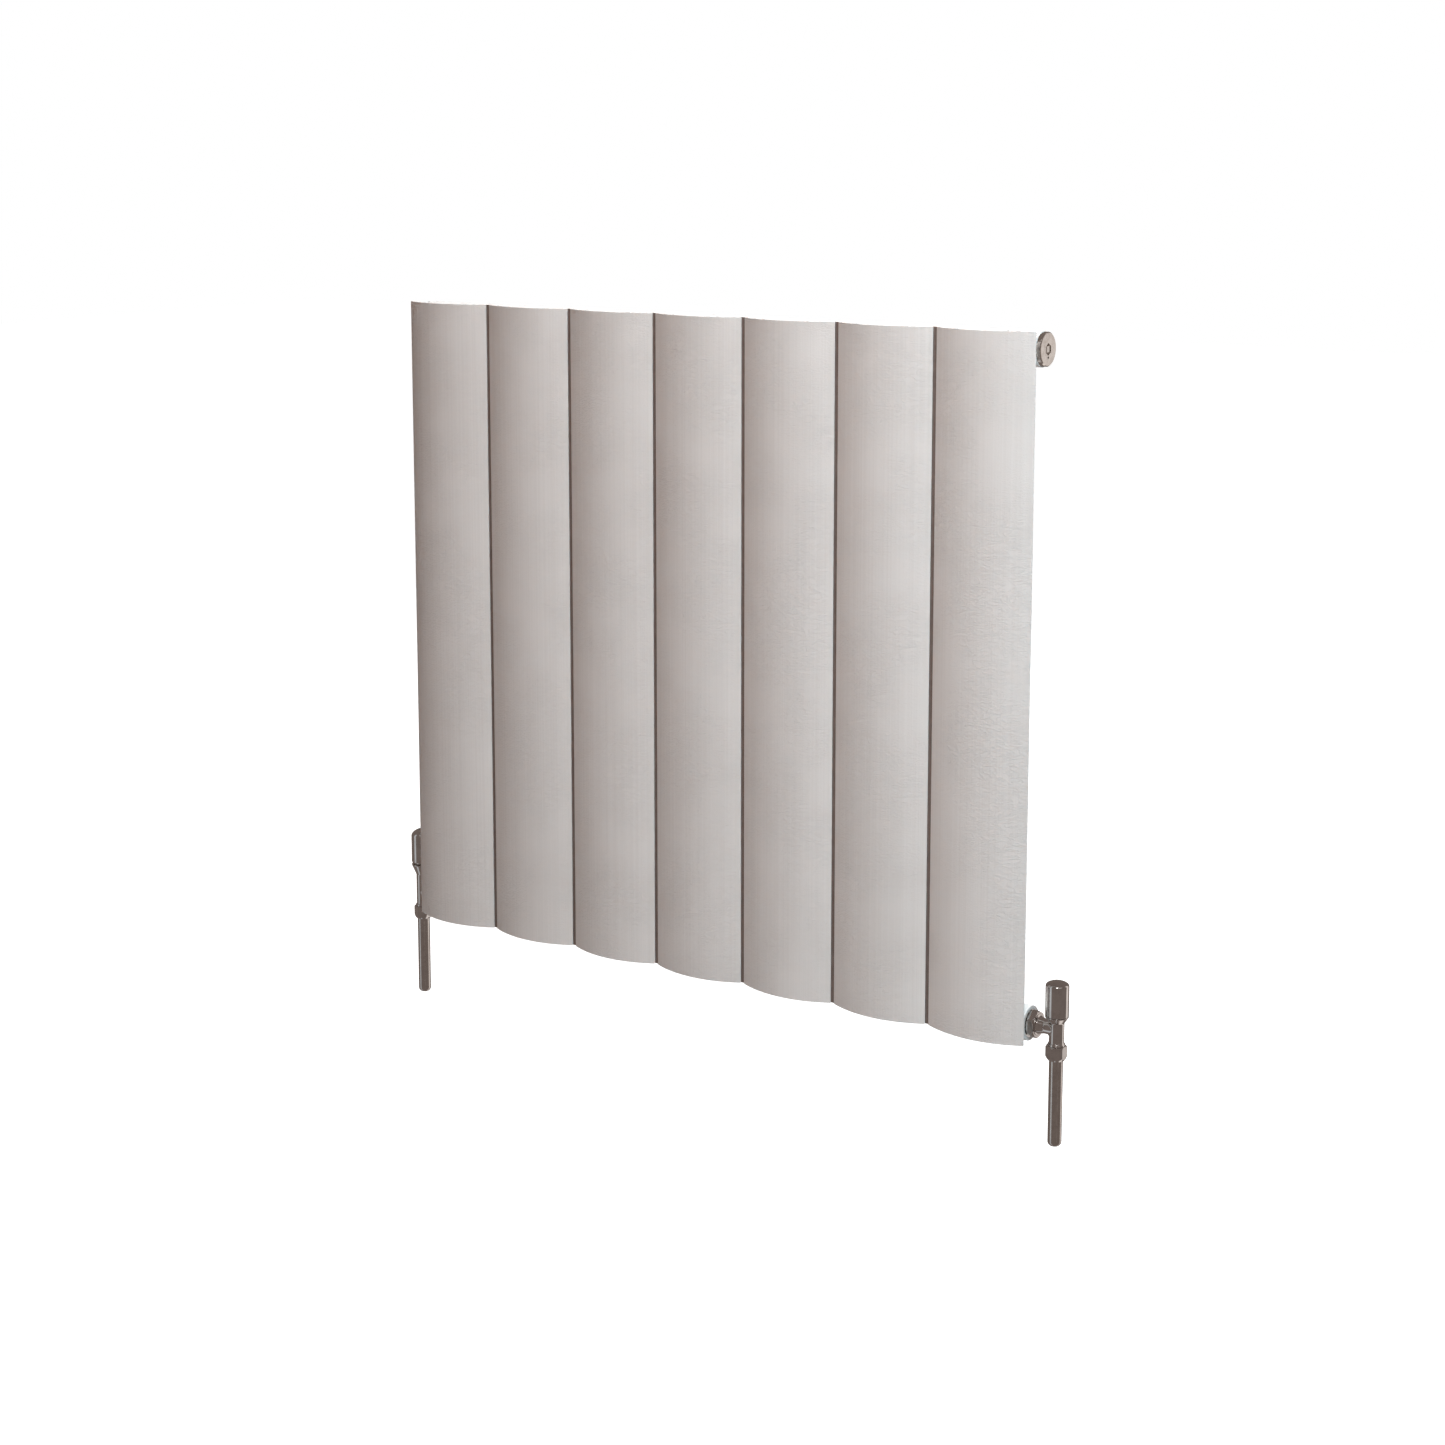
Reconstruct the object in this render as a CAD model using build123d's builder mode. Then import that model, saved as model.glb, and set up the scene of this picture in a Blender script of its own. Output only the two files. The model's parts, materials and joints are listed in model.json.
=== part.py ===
from build123d import *
import os
from math import sqrt

# Wall-hung aluminium radiator with a pair of angle valves.  All values in millimetres.
# +X runs towards the vent plug and the lockshield valve, the front faces -Y and +Z is up.
# The origin lies in the wall plane, at the centre of the four wall fixings.

# Sections
section_count = 7
section_pitch = 95.0
section_height = 600.0
section_gap = 3.0
panel_rise = 12.0
panel_thickness = 2.0
panel_edge_round = 0.6

# Water channel and fins behind each curved front
channel_width = 40.0
channel_wall = 1.8
channel_reach = 7.0
channel_round = 5.0
channel_cap_depth = 3.0
fins_per_side = 2
fin_thickness = 1.4
fin_reach = 4.0

# Dark strips that close the joints between sections from behind
joint_strip_overlap = 2.5
joint_strip_thickness = 1.2

# Headers
header_radius = 15.0
header_wall = 3.0
header_below_top = 16.0
header_above_bottom = 12.0
header_end_inset = 5.6
nipple_length = 2.0
nipple_radius = 7.0
port_radius = 4.5
wall_gap = 35.0

# Fits
fit_clearance = 0.05
seating_gap = 0.3

# Header end bushes and plugs
tapping_radius = 8.3
bush_length = 14.0
plug_thread_length = 10.0
plug_rim_inset = 0.7
plug_head_depth = 4.0
plug_edge_chamfer = 0.8
plug_ring_offset = 2.3
plug_ring_section = 0.95
plug_ring_room = 0.15
blank_recess_flats = 12.0
blank_recess_depth = 2.5

# Bleed screw
vent_recess_flats = 9.0
vent_recess_depth = 2.0
bleed_radius = 2.5
bleed_thread_length = 8.2
bleed_head_flats = 5.0
bleed_head_height = 1.65
bleed_tip_length = 1.5
bleed_tip_radius = 0.9
vent_way_radius = 1.2
outlet_radius = 1.0
outlet_offset = 6.8
outlet_depth = 5.0

# Wall brackets
bracket_width = 16.0
bracket_strip = 3.0
bracket_front_rise = 5.0
bracket_back_rise = 13.0
bracket_arm_level = 12.0
bracket_arm_depth = 4.0
bracket_rib_thickness = 4.0
foot_width = 30.0
foot_thickness = 3.0
foot_above = 9.0
foot_below = 24.0
foot_round = 4.0
fixing_radius = 3.25
liner_thickness = 1.5
liner_rise = 4.0
liner_flange_reach = 2.0
liner_flange_thickness = 1.2
lock_screw_radius = 2.5
lock_screw_level = 9.0
lock_screw_length = 8.0
lock_socket_flats = 2.5
lock_socket_depth = 2.5

# Union between header and valve
union_nut_wall = 1.35
union_nut_length = 7.0
union_lip = 1.7
union_flange_catch = 1.1
union_face_inset = 0.15
union_chamfer_length = 1.8
tail_length = 12.0
tail_flange_thickness = 1.45
tail_bore_radius = 4.5
seal_thickness = 1.0
seal_inset = 0.1

# Valve bodies
valve_reach = 24.0
body_radius = 6.5
arm_radius = 7.5
arm_neck_radius = 6.2
arm_taper_length = 6.0
arm_bore_radius = 3.6
arm_thread_length = 3.3
seat_level = -4.0
inlet_radius = 3.25
chamber_radius = 4.8
lift = 2.5
closed_gap = 0.05
bonnet_thread_radius = 6.0
bonnet_thread_length = 3.8
bowl_lip = 0.8

# Bowl, head and cap of each valve: level of the neck, level of the rim, radius and level of the top
lockshield_neck = 5.4
lockshield_rim = 11.3
lockshield_radius = 10.0
lockshield_top = 41.9
wheel_neck = 17.6
wheel_rim = 28.3
wheel_radius = 10.8
wheel_top = 64.0

# Bonnet, spindle and jumper, measured from the bowl's rim where not said otherwise
skirt_level = 5.0
skirt_radius = 4.7
bonnet_hex_flats = 14.0
bonnet_hex_height = 3.6
bonnet_neck_radius = 6.75
bonnet_height = 8.0
collar_level = 1.15
collar_radius = 4.5
collar_height = 1.6
stem_radius = 3.0
stem_height = 12.5
stem_seal_section = 0.72
gland_radius = 5.45
gland_level = 4.95
gland_hex_flats = 12.0
gland_hex_height = 2.65
square_flats = 4.2
square_height = 8.0
slot_width = 1.0
slot_depth = 1.5
stud_radius = 1.75
stud_level = 3.5
jumper_flats = 6.0
jumper_guide_play = 0.1
jumper_flange_radius = 4.5
jumper_flange_height = 1.5
jumper_bore_level = 2.5
washer_radius = 4.3
washer_thickness = 1.5

# Head and cap shells
shell_wall = 1.5
shell_top = 4.0
rim_round = 2.5
lockshield_crown = 3.0
wheel_crown = 5.5
wheel_rim_round = 5.0
boss_radius = 5.0
boss_level = 12.8
socket_depth = 7.8
head_screw_radius = 1.25
head_screw_head_radius = 2.6
head_screw_head_height = 2.2
head_screw_socket_flats = 2.0
head_screw_socket_depth = 1.2
head_screw_grip = 5.5
head_recess_radius = 3.4
head_recess_depth = 4.0

# Compression joint and pipe
pipe_radius = 6.0
pipe_wall = 1.0
pipe_stop_level = -14.8
pipe_end_level = -103.4
pipe_end_round = 4.0
pipe_mark_depth = 0.25
pipe_mark_width = 0.8
spigot_wall = 0.8
spigot_end_level = -21.0
shoulder_overhang = 0.55
shoulder_level = -14.5
shoulder_height = 1.5
shoulder_slope = 1.0
olive_height = 4.0
olive_bevel = 1.0
compression_nut_wall = 1.1
compression_nut_length = 12.4
compression_nut_base_wall = 1.3
compression_nut_chamfer = 1.0
compression_nut_taper = 3.0

# Places that follow from the values above
panel_chord = section_pitch - section_gap
overall_half = (section_count * section_pitch - section_gap) / 2
header_setback = channel_reach + nipple_length + header_radius
header_y = -(wall_gap + header_radius)
panel_edge_y = header_y - header_setback
header_spacing = section_height - header_below_top - header_above_bottom
header_top_z = header_spacing / 2
header_bottom_z = -header_spacing / 2
section_bottom_z = header_bottom_z - header_above_bottom
section_top_z = section_bottom_z + section_height
header_half = overall_half - header_end_inset
header_bore = header_radius - header_wall
section_places = [(i - (section_count - 1) / 2) * section_pitch for i in range(section_count)]
panel_radius = ((panel_chord / 2) ** 2 + panel_rise**2) / (2 * panel_rise)
panel_inner_radius = panel_radius - panel_thickness
panel_centre_y = panel_radius - panel_rise
channel_front = -panel_rise + 2 * panel_thickness
channel_bore_width = channel_width - 2 * channel_wall
channel_bore_depth = channel_reach - channel_wall - channel_front
channel_bore_centre = channel_front + channel_bore_depth / 2
bracket_place = (section_count / 2 - 1) * section_pitch
liner_radius = header_radius + fit_clearance
cradle_radius = liner_radius + liner_thickness + fit_clearance
cradle_outer = cradle_radius + bracket_strip
plug_ring_radius = tapping_radius + plug_ring_offset
union_thread_radius = tapping_radius + union_flange_catch
union_nut_flats = 2 * (union_thread_radius + union_nut_wall)
union_face_radius = union_nut_flats / 2 + union_face_inset
spigot_radius = pipe_radius + fit_clearance + spigot_wall
shoulder_radius = spigot_radius + shoulder_overhang
compression_nut_flats = 2 * (spigot_radius + fit_clearance + compression_nut_wall)
compression_nut_base_radius = pipe_radius + compression_nut_base_wall
compression_nut_base = shoulder_level - fit_clearance - compression_nut_length

os.makedirs("parts", exist_ok=True)


def save(builder, name):
    """Label a finished piece and write it as its own STEP file."""
    builder.part.label = name
    export_step(builder.part, f"parts/{name}.step")


def end_plane(side, level):
    """Plane in a header's end face, its normal pointing out of the header, its y direction up."""
    return Plane(origin=(side * header_half, header_y, level), x_dir=(0, side, 0), z_dir=(side, 0, 0))


def valve_plane(side):
    """Level plane on a valve's vertical axis, at the height of the lower header's axis."""
    return Plane(origin=(side * (header_half + valve_reach), header_y, header_bottom_z))


def turn(place, outline, mode=Mode.ADD):
    """Revolve an outline of (radius, height) points about the normal of a plane."""
    half_plane = Plane(origin=place.origin, x_dir=place.x_dir, z_dir=-place.y_dir)
    with BuildSketch(half_plane) as profile:
        with BuildLine():
            Polyline(*outline, close=True)
        make_face()
    revolve(profile.sketch, axis=Axis(place.origin, place.z_dir), mode=mode)


def cylinder(place, radius, start, end, mode=Mode.ADD):
    """Round bar or bore on the normal of a plane, from one height to another."""
    with BuildSketch(place.offset(start)) as profile:
        Circle(radius)
    extrude(profile.sketch, amount=end - start, mode=mode)


def hexagon(place, flats, start, end, mode=Mode.ADD):
    """Hexagonal bar or socket with corners up and down."""
    with BuildSketch(place.offset(start)) as profile:
        RegularPolygon(radius=flats / 2, side_count=6, major_radius=False, rotation=30)
    extrude(profile.sketch, amount=end - start, mode=mode)


def square(place, flats, start, end, mode=Mode.ADD):
    """Square bar or socket."""
    with BuildSketch(place.offset(start)) as profile:
        Rectangle(flats, flats)
    extrude(profile.sketch, amount=end - start, mode=mode)


def ring(place, radius, section, level):
    """Rubber ring of round section."""
    half_plane = Plane(origin=place.origin, x_dir=place.x_dir, z_dir=-place.y_dir)
    with BuildSketch(half_plane) as profile:
        with Locations((radius, level)):
            Circle(section)
    revolve(profile.sketch, axis=Axis(place.origin, place.z_dir))


def fin_places():
    """Distances of the fins from the middle of a section, spread between channel and panel edge."""
    free_width = (panel_chord - channel_width) / 2
    step = free_width / (fins_per_side + 1)
    return [channel_width / 2 + step * (i + 1) for i in range(fins_per_side)]


def make_section(centre_x):
    """One extruded section: curved front, closed water channel behind it and thin fins."""
    half = panel_chord / 2
    inner_half = half * panel_inner_radius / panel_radius
    inner_y = panel_centre_y * panel_thickness / panel_radius
    with BuildPart() as section:
        with BuildSketch(Plane(origin=(centre_x, panel_edge_y, section_bottom_z))) as profile:
            with BuildLine():
                ThreePointArc((-half, 0), (0, -panel_rise), (half, 0))
                Line((half, 0), (inner_half, inner_y))
                ThreePointArc((inner_half, inner_y), (0, panel_thickness - panel_rise), (-inner_half, inner_y))
                Line((-inner_half, inner_y), (-half, 0))
            make_face()
            fillet(profile.vertices(), panel_edge_round)
            channel_depth = channel_reach + panel_rise - panel_thickness
            with Locations((0, channel_reach - channel_depth / 2)):
                Rectangle(channel_width, channel_depth)
            fillet(profile.vertices().group_by(Axis.Y)[-1], channel_round)
            for side in (-1, 1):
                for offset_x in fin_places():
                    root_y = panel_centre_y - sqrt(panel_inner_radius**2 - offset_x**2) - panel_thickness / 2
                    with Locations((side * offset_x, (root_y + fin_reach) / 2)):
                        Rectangle(fin_thickness, fin_reach - root_y)
            with Locations((0, channel_bore_centre)):
                bore_round = channel_round - channel_wall
                RectangleRounded(channel_bore_width, channel_bore_depth, bore_round, mode=Mode.SUBTRACT)
        extrude(amount=section_height)
        for level in (header_bottom_z, header_top_z):
            port_plane = Plane(origin=(centre_x, panel_edge_y + channel_reach, level), z_dir=(0, -1, 0))
            cylinder(port_plane, port_radius, 0, 2 * channel_wall, Mode.SUBTRACT)
    return section


def make_channel_caps(level):
    """The seven closing plates of the water channels at one end."""
    with BuildPart() as caps:
        for centre_x in section_places:
            with BuildSketch(Plane(origin=(centre_x, panel_edge_y + channel_bore_centre, level))):
                RectangleRounded(
                    channel_bore_width - 2 * fit_clearance,
                    channel_bore_depth - 2 * fit_clearance,
                    channel_round - channel_wall,
                )
            extrude(amount=channel_cap_depth)
    return caps


def make_joint_strips():
    """Dark strips behind the joints, each lying against the edges of two neighbouring sections."""
    edge_sine = panel_chord / 2 / panel_radius
    edge_cosine = panel_centre_y / panel_radius
    edge_back = edge_cosine * panel_thickness - panel_edge_round * (edge_sine + edge_cosine - 1)
    strip_y = panel_edge_y + edge_back + fit_clearance + joint_strip_thickness / 2
    with BuildPart() as strips:
        for centre_x in section_places[:-1]:
            with BuildSketch(Plane(origin=(centre_x + section_pitch / 2, strip_y, section_bottom_z))):
                Rectangle(section_gap + 2 * joint_strip_overlap, joint_strip_thickness)
            extrude(amount=section_height)
    return strips


def make_header(level):
    """Header tube with one short nipple to each water channel."""
    middle = Plane(origin=(0, header_y, level), z_dir=(1, 0, 0))
    with BuildPart() as header:
        cylinder(middle, header_radius, -header_half, header_half)
        for centre_x in section_places:
            nipple_plane = Plane(origin=(centre_x, header_y, level), z_dir=(0, -1, 0))
            cylinder(nipple_plane, nipple_radius, 0, header_radius + nipple_length)
        cylinder(middle, header_bore, -header_half, header_half, Mode.SUBTRACT)
        for centre_x in section_places:
            nipple_plane = Plane(origin=(centre_x, header_y, level), z_dir=(0, -1, 0))
            cylinder(nipple_plane, port_radius, 0, header_radius + nipple_length, Mode.SUBTRACT)
    return header


def make_bush(side, level):
    """Tapped bush fixed in a header's end."""
    place = end_plane(side, level)
    with BuildPart() as bush:
        cylinder(place, header_bore - fit_clearance, -bush_length, 0)
        cylinder(place, tapping_radius + fit_clearance, -bush_length, 0, Mode.SUBTRACT)
    return bush


def plug_blank(place):
    """Round-headed plug with a groove for its sealing ring, in the part being built."""
    rim = header_radius - plug_rim_inset
    head_top = seating_gap + plug_head_depth
    turn(
        place,
        [
            (0, -plug_thread_length),
            (tapping_radius, -plug_thread_length),
            (tapping_radius, seating_gap),
            (rim, seating_gap),
            (rim, head_top - plug_edge_chamfer),
            (rim - plug_edge_chamfer, head_top),
            (0, head_top),
        ],
    )
    groove_half = plug_ring_section + plug_ring_room
    groove_floor = fit_clearance + 2 * plug_ring_section + fit_clearance
    turn(
        place,
        [
            (plug_ring_radius - groove_half, seating_gap),
            (plug_ring_radius + groove_half, seating_gap),
            (plug_ring_radius + groove_half, groove_floor),
            (plug_ring_radius - groove_half, groove_floor),
        ],
        Mode.SUBTRACT,
    )


def make_plug_ring(side):
    """Sealing ring under a plug's head."""
    with BuildPart() as plug_ring:
        ring(end_plane(side, header_top_z), plug_ring_radius, plug_ring_section, fit_clearance + plug_ring_section)
    return plug_ring


def make_bracket(centre_x, level):
    """Wall bracket: foot with a screw hole, arm, rib and an open cradle for the header."""
    side_plane = Plane(origin=(centre_x, header_y, level), x_dir=(0, 1, 0), z_dir=(1, 0, 0))
    foot_back = -header_y
    foot_front = foot_back - foot_thickness
    arm_start = sqrt(cradle_radius**2 - (bracket_arm_level - bracket_arm_depth / 2) ** 2) + fit_clearance
    arm_length = foot_front - arm_start
    with BuildPart() as bracket:
        with BuildSketch(side_plane):
            Circle(cradle_outer)
            Circle(cradle_radius, mode=Mode.SUBTRACT)
            with Locations((0, cradle_outer / 2)):
                Rectangle(2 * cradle_outer, cradle_outer, mode=Mode.SUBTRACT)
            with Locations((-(cradle_radius + cradle_outer) / 2, bracket_front_rise / 2)):
                Rectangle(bracket_strip, bracket_front_rise)
            with Locations(((cradle_radius + cradle_outer) / 2, bracket_back_rise / 2)):
                Rectangle(bracket_strip, bracket_back_rise)
            with Locations((arm_start + arm_length / 2, -bracket_arm_level)):
                Rectangle(arm_length, bracket_arm_depth)
        extrude(amount=bracket_width / 2, both=True)
        with BuildSketch(side_plane):
            with BuildLine():
                Polyline(
                    (foot_front, -bracket_arm_level),
                    (cradle_outer, -bracket_arm_level),
                    (cradle_outer, -bracket_arm_level - bracket_arm_depth / 2),
                    (foot_front, -foot_below),
                    close=True,
                )
            make_face()
        extrude(amount=bracket_rib_thickness / 2, both=True)
        foot_middle = level + (foot_above - foot_below) / 2
        foot_plane = Plane(origin=(centre_x, 0, foot_middle), x_dir=(1, 0, 0), z_dir=(0, -1, 0))
        with BuildSketch(foot_plane):
            RectangleRounded(foot_width, foot_above + foot_below, foot_round)
        extrude(amount=foot_thickness)
        fixing_plane = Plane(origin=(centre_x, 0, level), z_dir=(0, -1, 0))
        cylinder(fixing_plane, fixing_radius, 0, foot_thickness, Mode.SUBTRACT)
        lock_plane = Plane(origin=(centre_x, header_y, level + lock_screw_level), z_dir=(0, 1, 0))
        cylinder(lock_plane, lock_screw_radius + fit_clearance, cradle_radius, cradle_outer, Mode.SUBTRACT)
    return bracket


def make_liner(centre_x, level):
    """Plastic liner between cradle and header, with a flange on each side of the bracket."""
    side_plane = Plane(origin=(centre_x, header_y, level), x_dir=(0, 1, 0), z_dir=(1, 0, 0))
    liner_outer = liner_radius + liner_thickness
    inner_width = bracket_width / 2 + fit_clearance
    with BuildPart() as liner:
        with BuildSketch(side_plane):
            Circle(liner_outer)
            with Locations((0, liner_outer / 2)):
                Rectangle(2 * liner_outer, liner_outer, mode=Mode.SUBTRACT)
            with Locations((0, liner_rise / 2)):
                Rectangle(2 * liner_outer, liner_rise)
            Circle(liner_radius, mode=Mode.SUBTRACT)
            with Locations((0, liner_outer / 2)):
                Rectangle(2 * liner_radius, liner_outer, mode=Mode.SUBTRACT)
        extrude(amount=inner_width + liner_flange_thickness, both=True)
        for flange_start in (inner_width, -inner_width - liner_flange_thickness):
            with BuildSketch(side_plane.offset(flange_start)):
                Circle(liner_outer + liner_flange_reach)
                Circle(liner_radius, mode=Mode.SUBTRACT)
                with Locations((0, (liner_outer + liner_flange_reach) / 2)):
                    Rectangle(
                        2 * (liner_outer + liner_flange_reach),
                        liner_outer + liner_flange_reach,
                        mode=Mode.SUBTRACT,
                    )
            extrude(amount=liner_flange_thickness)
    return liner


def make_lock_screws(places):
    """Grub screws through the cradles' back legs that keep the headers from lifting out."""
    lowest = lock_screw_level - lock_screw_radius
    tip = sqrt(header_radius**2 - lowest**2) + seating_gap
    with BuildPart() as lock_screws:
        for centre_x, level in places:
            place = Plane(origin=(centre_x, header_y, level + lock_screw_level), z_dir=(0, 1, 0))
            end = tip + lock_screw_length
            cylinder(place, lock_screw_radius, tip, end)
            hexagon(place, lock_socket_flats, end - lock_socket_depth, end, Mode.SUBTRACT)
    return lock_screws


def make_valve_body(side, neck, rim, bowl_radius):
    """Angle valve body: arm with union thread, seat, bowl for the bonnet and spigot for the pipe."""
    axis_plane = valve_plane(side)
    arm_plane = end_plane(side, header_bottom_z)
    arm_face = union_faces()["arm"]
    arm_taper = arm_face + arm_thread_length
    with BuildPart() as body:
        turn(
            axis_plane,
            [
                (0, spigot_end_level),
                (spigot_radius, spigot_end_level),
                (spigot_radius, shoulder_level),
                (shoulder_radius, shoulder_level),
                (shoulder_radius, shoulder_level + shoulder_height),
                (body_radius, shoulder_level + shoulder_height + shoulder_slope),
                (body_radius, neck),
                (bowl_radius, rim - bowl_lip),
                (bowl_radius, rim),
                (0, rim),
            ],
        )
        turn(
            arm_plane,
            [
                (0, arm_face),
                (union_thread_radius, arm_face),
                (union_thread_radius, arm_taper),
                (arm_radius, arm_taper),
                (arm_neck_radius, arm_taper + arm_taper_length),
                (arm_neck_radius, valve_reach),
                (0, valve_reach),
            ],
        )
        cylinder(axis_plane, pipe_radius + fit_clearance, spigot_end_level, pipe_stop_level, Mode.SUBTRACT)
        cylinder(axis_plane, inlet_radius, pipe_stop_level, seat_level, Mode.SUBTRACT)
        cylinder(axis_plane, chamber_radius, seat_level, rim - bonnet_thread_length, Mode.SUBTRACT)
        cylinder(axis_plane, bonnet_thread_radius + fit_clearance, rim - bonnet_thread_length, rim, Mode.SUBTRACT)
        cylinder(arm_plane, arm_bore_radius, arm_face, valve_reach, Mode.SUBTRACT)
    return body


def union_faces():
    """Distances from the header's end face of the faces inside the union."""
    lip_end = seating_gap + union_lip
    flange_start = lip_end + fit_clearance
    flange_end = flange_start + tail_flange_thickness
    return {"lip": lip_end, "flange": flange_start, "seal": flange_end, "arm": flange_end + seal_thickness}


def make_tail(side):
    """Tail screwed into the header's bush, with the flange that the union nut pulls."""
    place = end_plane(side, header_bottom_z)
    faces = union_faces()
    with BuildPart() as tail:
        cylinder(place, tapping_radius, -tail_length, faces["flange"])
        cylinder(place, union_thread_radius - fit_clearance, faces["flange"], faces["seal"])
        cylinder(place, tail_bore_radius, -tail_length, faces["seal"], Mode.SUBTRACT)
    return tail


def make_tail_seal(side):
    """Flat sealing washer between tail flange and valve arm."""
    place = end_plane(side, header_bottom_z)
    faces = union_faces()
    with BuildPart() as seal:
        cylinder(place, union_thread_radius - seal_inset, faces["seal"], faces["arm"])
        cylinder(place, tail_bore_radius, faces["seal"], faces["arm"], Mode.SUBTRACT)
    return seal


def make_union_nut(side):
    """Hexagonal union nut with bevelled ends and an inner lip behind the tail's flange."""
    place = end_plane(side, header_bottom_z)
    faces = union_faces()
    nut_end = seating_gap + union_nut_length
    corner = union_nut_flats / sqrt(3)
    with BuildPart() as nut:
        hexagon(place, union_nut_flats, seating_gap, nut_end)
        turn(
            place,
            [
                (0, seating_gap),
                (union_face_radius, seating_gap),
                (corner, seating_gap + union_chamfer_length),
                (corner, nut_end - union_chamfer_length),
                (union_face_radius, nut_end),
                (0, nut_end),
            ],
            Mode.INTERSECT,
        )
        cylinder(place, tapping_radius + 2 * fit_clearance, seating_gap, faces["lip"], Mode.SUBTRACT)
        cylinder(place, union_thread_radius + fit_clearance, faces["lip"], nut_end, Mode.SUBTRACT)
    return nut


def make_bonnet(side, rim):
    """Bonnet screwed into the bowl: skirt with a hexagonal guide, hexagon and neck for the gland nut."""
    place = valve_plane(side)
    thread_start = rim - bonnet_thread_length + fit_clearance
    hex_start = rim + fit_clearance
    hex_end = rim + bonnet_hex_height
    cavity_start = rim + collar_level - fit_clearance
    with BuildPart() as bonnet:
        cylinder(place, skirt_radius, skirt_level, thread_start)
        cylinder(place, bonnet_thread_radius, thread_start, hex_start)
        hexagon(place, bonnet_hex_flats, hex_start, hex_end)
        cylinder(place, bonnet_neck_radius, hex_end, rim + bonnet_height)
        hexagon(place, jumper_flats + 2 * jumper_guide_play, skirt_level, cavity_start, Mode.SUBTRACT)
        cylinder(place, collar_radius + fit_clearance, cavity_start, rim + gland_level, Mode.SUBTRACT)
        cylinder(
            place,
            gland_radius + fit_clearance,
            rim + gland_level - fit_clearance,
            rim + bonnet_height,
            Mode.SUBTRACT,
        )
    return bonnet


def make_stem_seal(side, rim):
    """Rubber ring that seals the stem between collar and gland nut."""
    radius = stem_radius + fit_clearance + stem_seal_section
    level = rim + collar_level + collar_height + fit_clearance + stem_seal_section
    with BuildPart() as stem_seal:
        ring(valve_plane(side), radius, stem_seal_section, level)
    return stem_seal


def make_gland_nut(side, rim):
    """Gland nut that closes the bonnet around the stem."""
    place = valve_plane(side)
    head_start = rim + bonnet_height + fit_clearance
    head_end = head_start + gland_hex_height
    with BuildPart() as gland:
        cylinder(place, gland_radius, rim + gland_level, head_start)
        hexagon(place, gland_hex_flats, head_start, head_end)
        cylinder(place, stem_radius + fit_clearance, rim + gland_level, head_end, Mode.SUBTRACT)
    return gland


def make_spindle(side, rim, tapped):
    """Spindle with drive stud, thrust collar, stem and square; tapped or slotted at its top."""
    place = valve_plane(side)
    collar_start = rim + collar_level
    square_end = rim + stem_height + square_height
    with BuildPart() as spindle:
        cylinder(place, stud_radius, stud_level, collar_start)
        cylinder(place, collar_radius, collar_start, collar_start + collar_height)
        cylinder(place, stem_radius, collar_start + collar_height, rim + stem_height)
        square(place, square_flats, rim + stem_height, square_end)
        if tapped:
            bore = head_screw_radius + fit_clearance
            cylinder(place, bore, square_end - head_screw_grip - seating_gap, square_end, Mode.SUBTRACT)
        else:
            with BuildSketch(place.offset(square_end - slot_depth)):
                Rectangle(2 * square_flats, slot_width)
            extrude(amount=slot_depth, mode=Mode.SUBTRACT)
    return spindle


def washer_levels():
    """Lower and upper face of the valve washer with the valve fully open."""
    lower = seat_level + closed_gap + lift
    return lower, lower + washer_thickness


def make_jumper(side, rim):
    """Valve disc with a hexagonal shank that the stud drives up and down."""
    place = valve_plane(side)
    flange_start = washer_levels()[1]
    shank_end = rim + collar_level - 1
    with BuildPart() as jumper:
        cylinder(place, jumper_flange_radius, flange_start, flange_start + jumper_flange_height)
        hexagon(place, jumper_flats, flange_start + jumper_flange_height, shank_end)
        cylinder(place, stud_radius + fit_clearance, jumper_bore_level, shank_end, Mode.SUBTRACT)
    return jumper


def make_washer(side):
    """Rubber washer under the valve disc."""
    lower, upper = washer_levels()
    with BuildPart() as washer:
        cylinder(valve_plane(side), washer_radius, lower, upper)
    return washer


def shell_solid(place, radius, start, top, crown, edge_round):
    """Round shell with a crowned top and a rounded rim, hollow from below, in the part being built."""
    half_plane = Plane(origin=place.origin, x_dir=place.x_dir, z_dir=-place.y_dir)
    edge = top - crown
    arc_radius = (radius**2 + crown**2) / (2 * crown)
    middle_r = radius / 2
    middle_z = top - arc_radius + sqrt(arc_radius**2 - middle_r**2)
    with BuildSketch(half_plane) as outline:
        with BuildLine():
            Polyline((0, top), (0, start), (radius, start), (radius, edge))
            ThreePointArc((radius, edge), (middle_r, middle_z), (0, top))
        make_face()
        fillet(outline.vertices().group_by(Axis.X)[-1].sort_by(Axis.Y)[-1], edge_round)
    revolve(outline.sketch, axis=Axis(place.origin, place.z_dir))


def make_lockshield_cap(side):
    """Cap that covers the lockshield spindle and pulls off upwards."""
    place = valve_plane(side)
    start = lockshield_rim + seating_gap
    with BuildPart() as cap:
        shell_solid(place, lockshield_radius, start, lockshield_top, lockshield_crown, rim_round)
        cylinder(place, lockshield_radius - shell_wall, start, lockshield_top - shell_top, Mode.SUBTRACT)
    return cap


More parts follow.
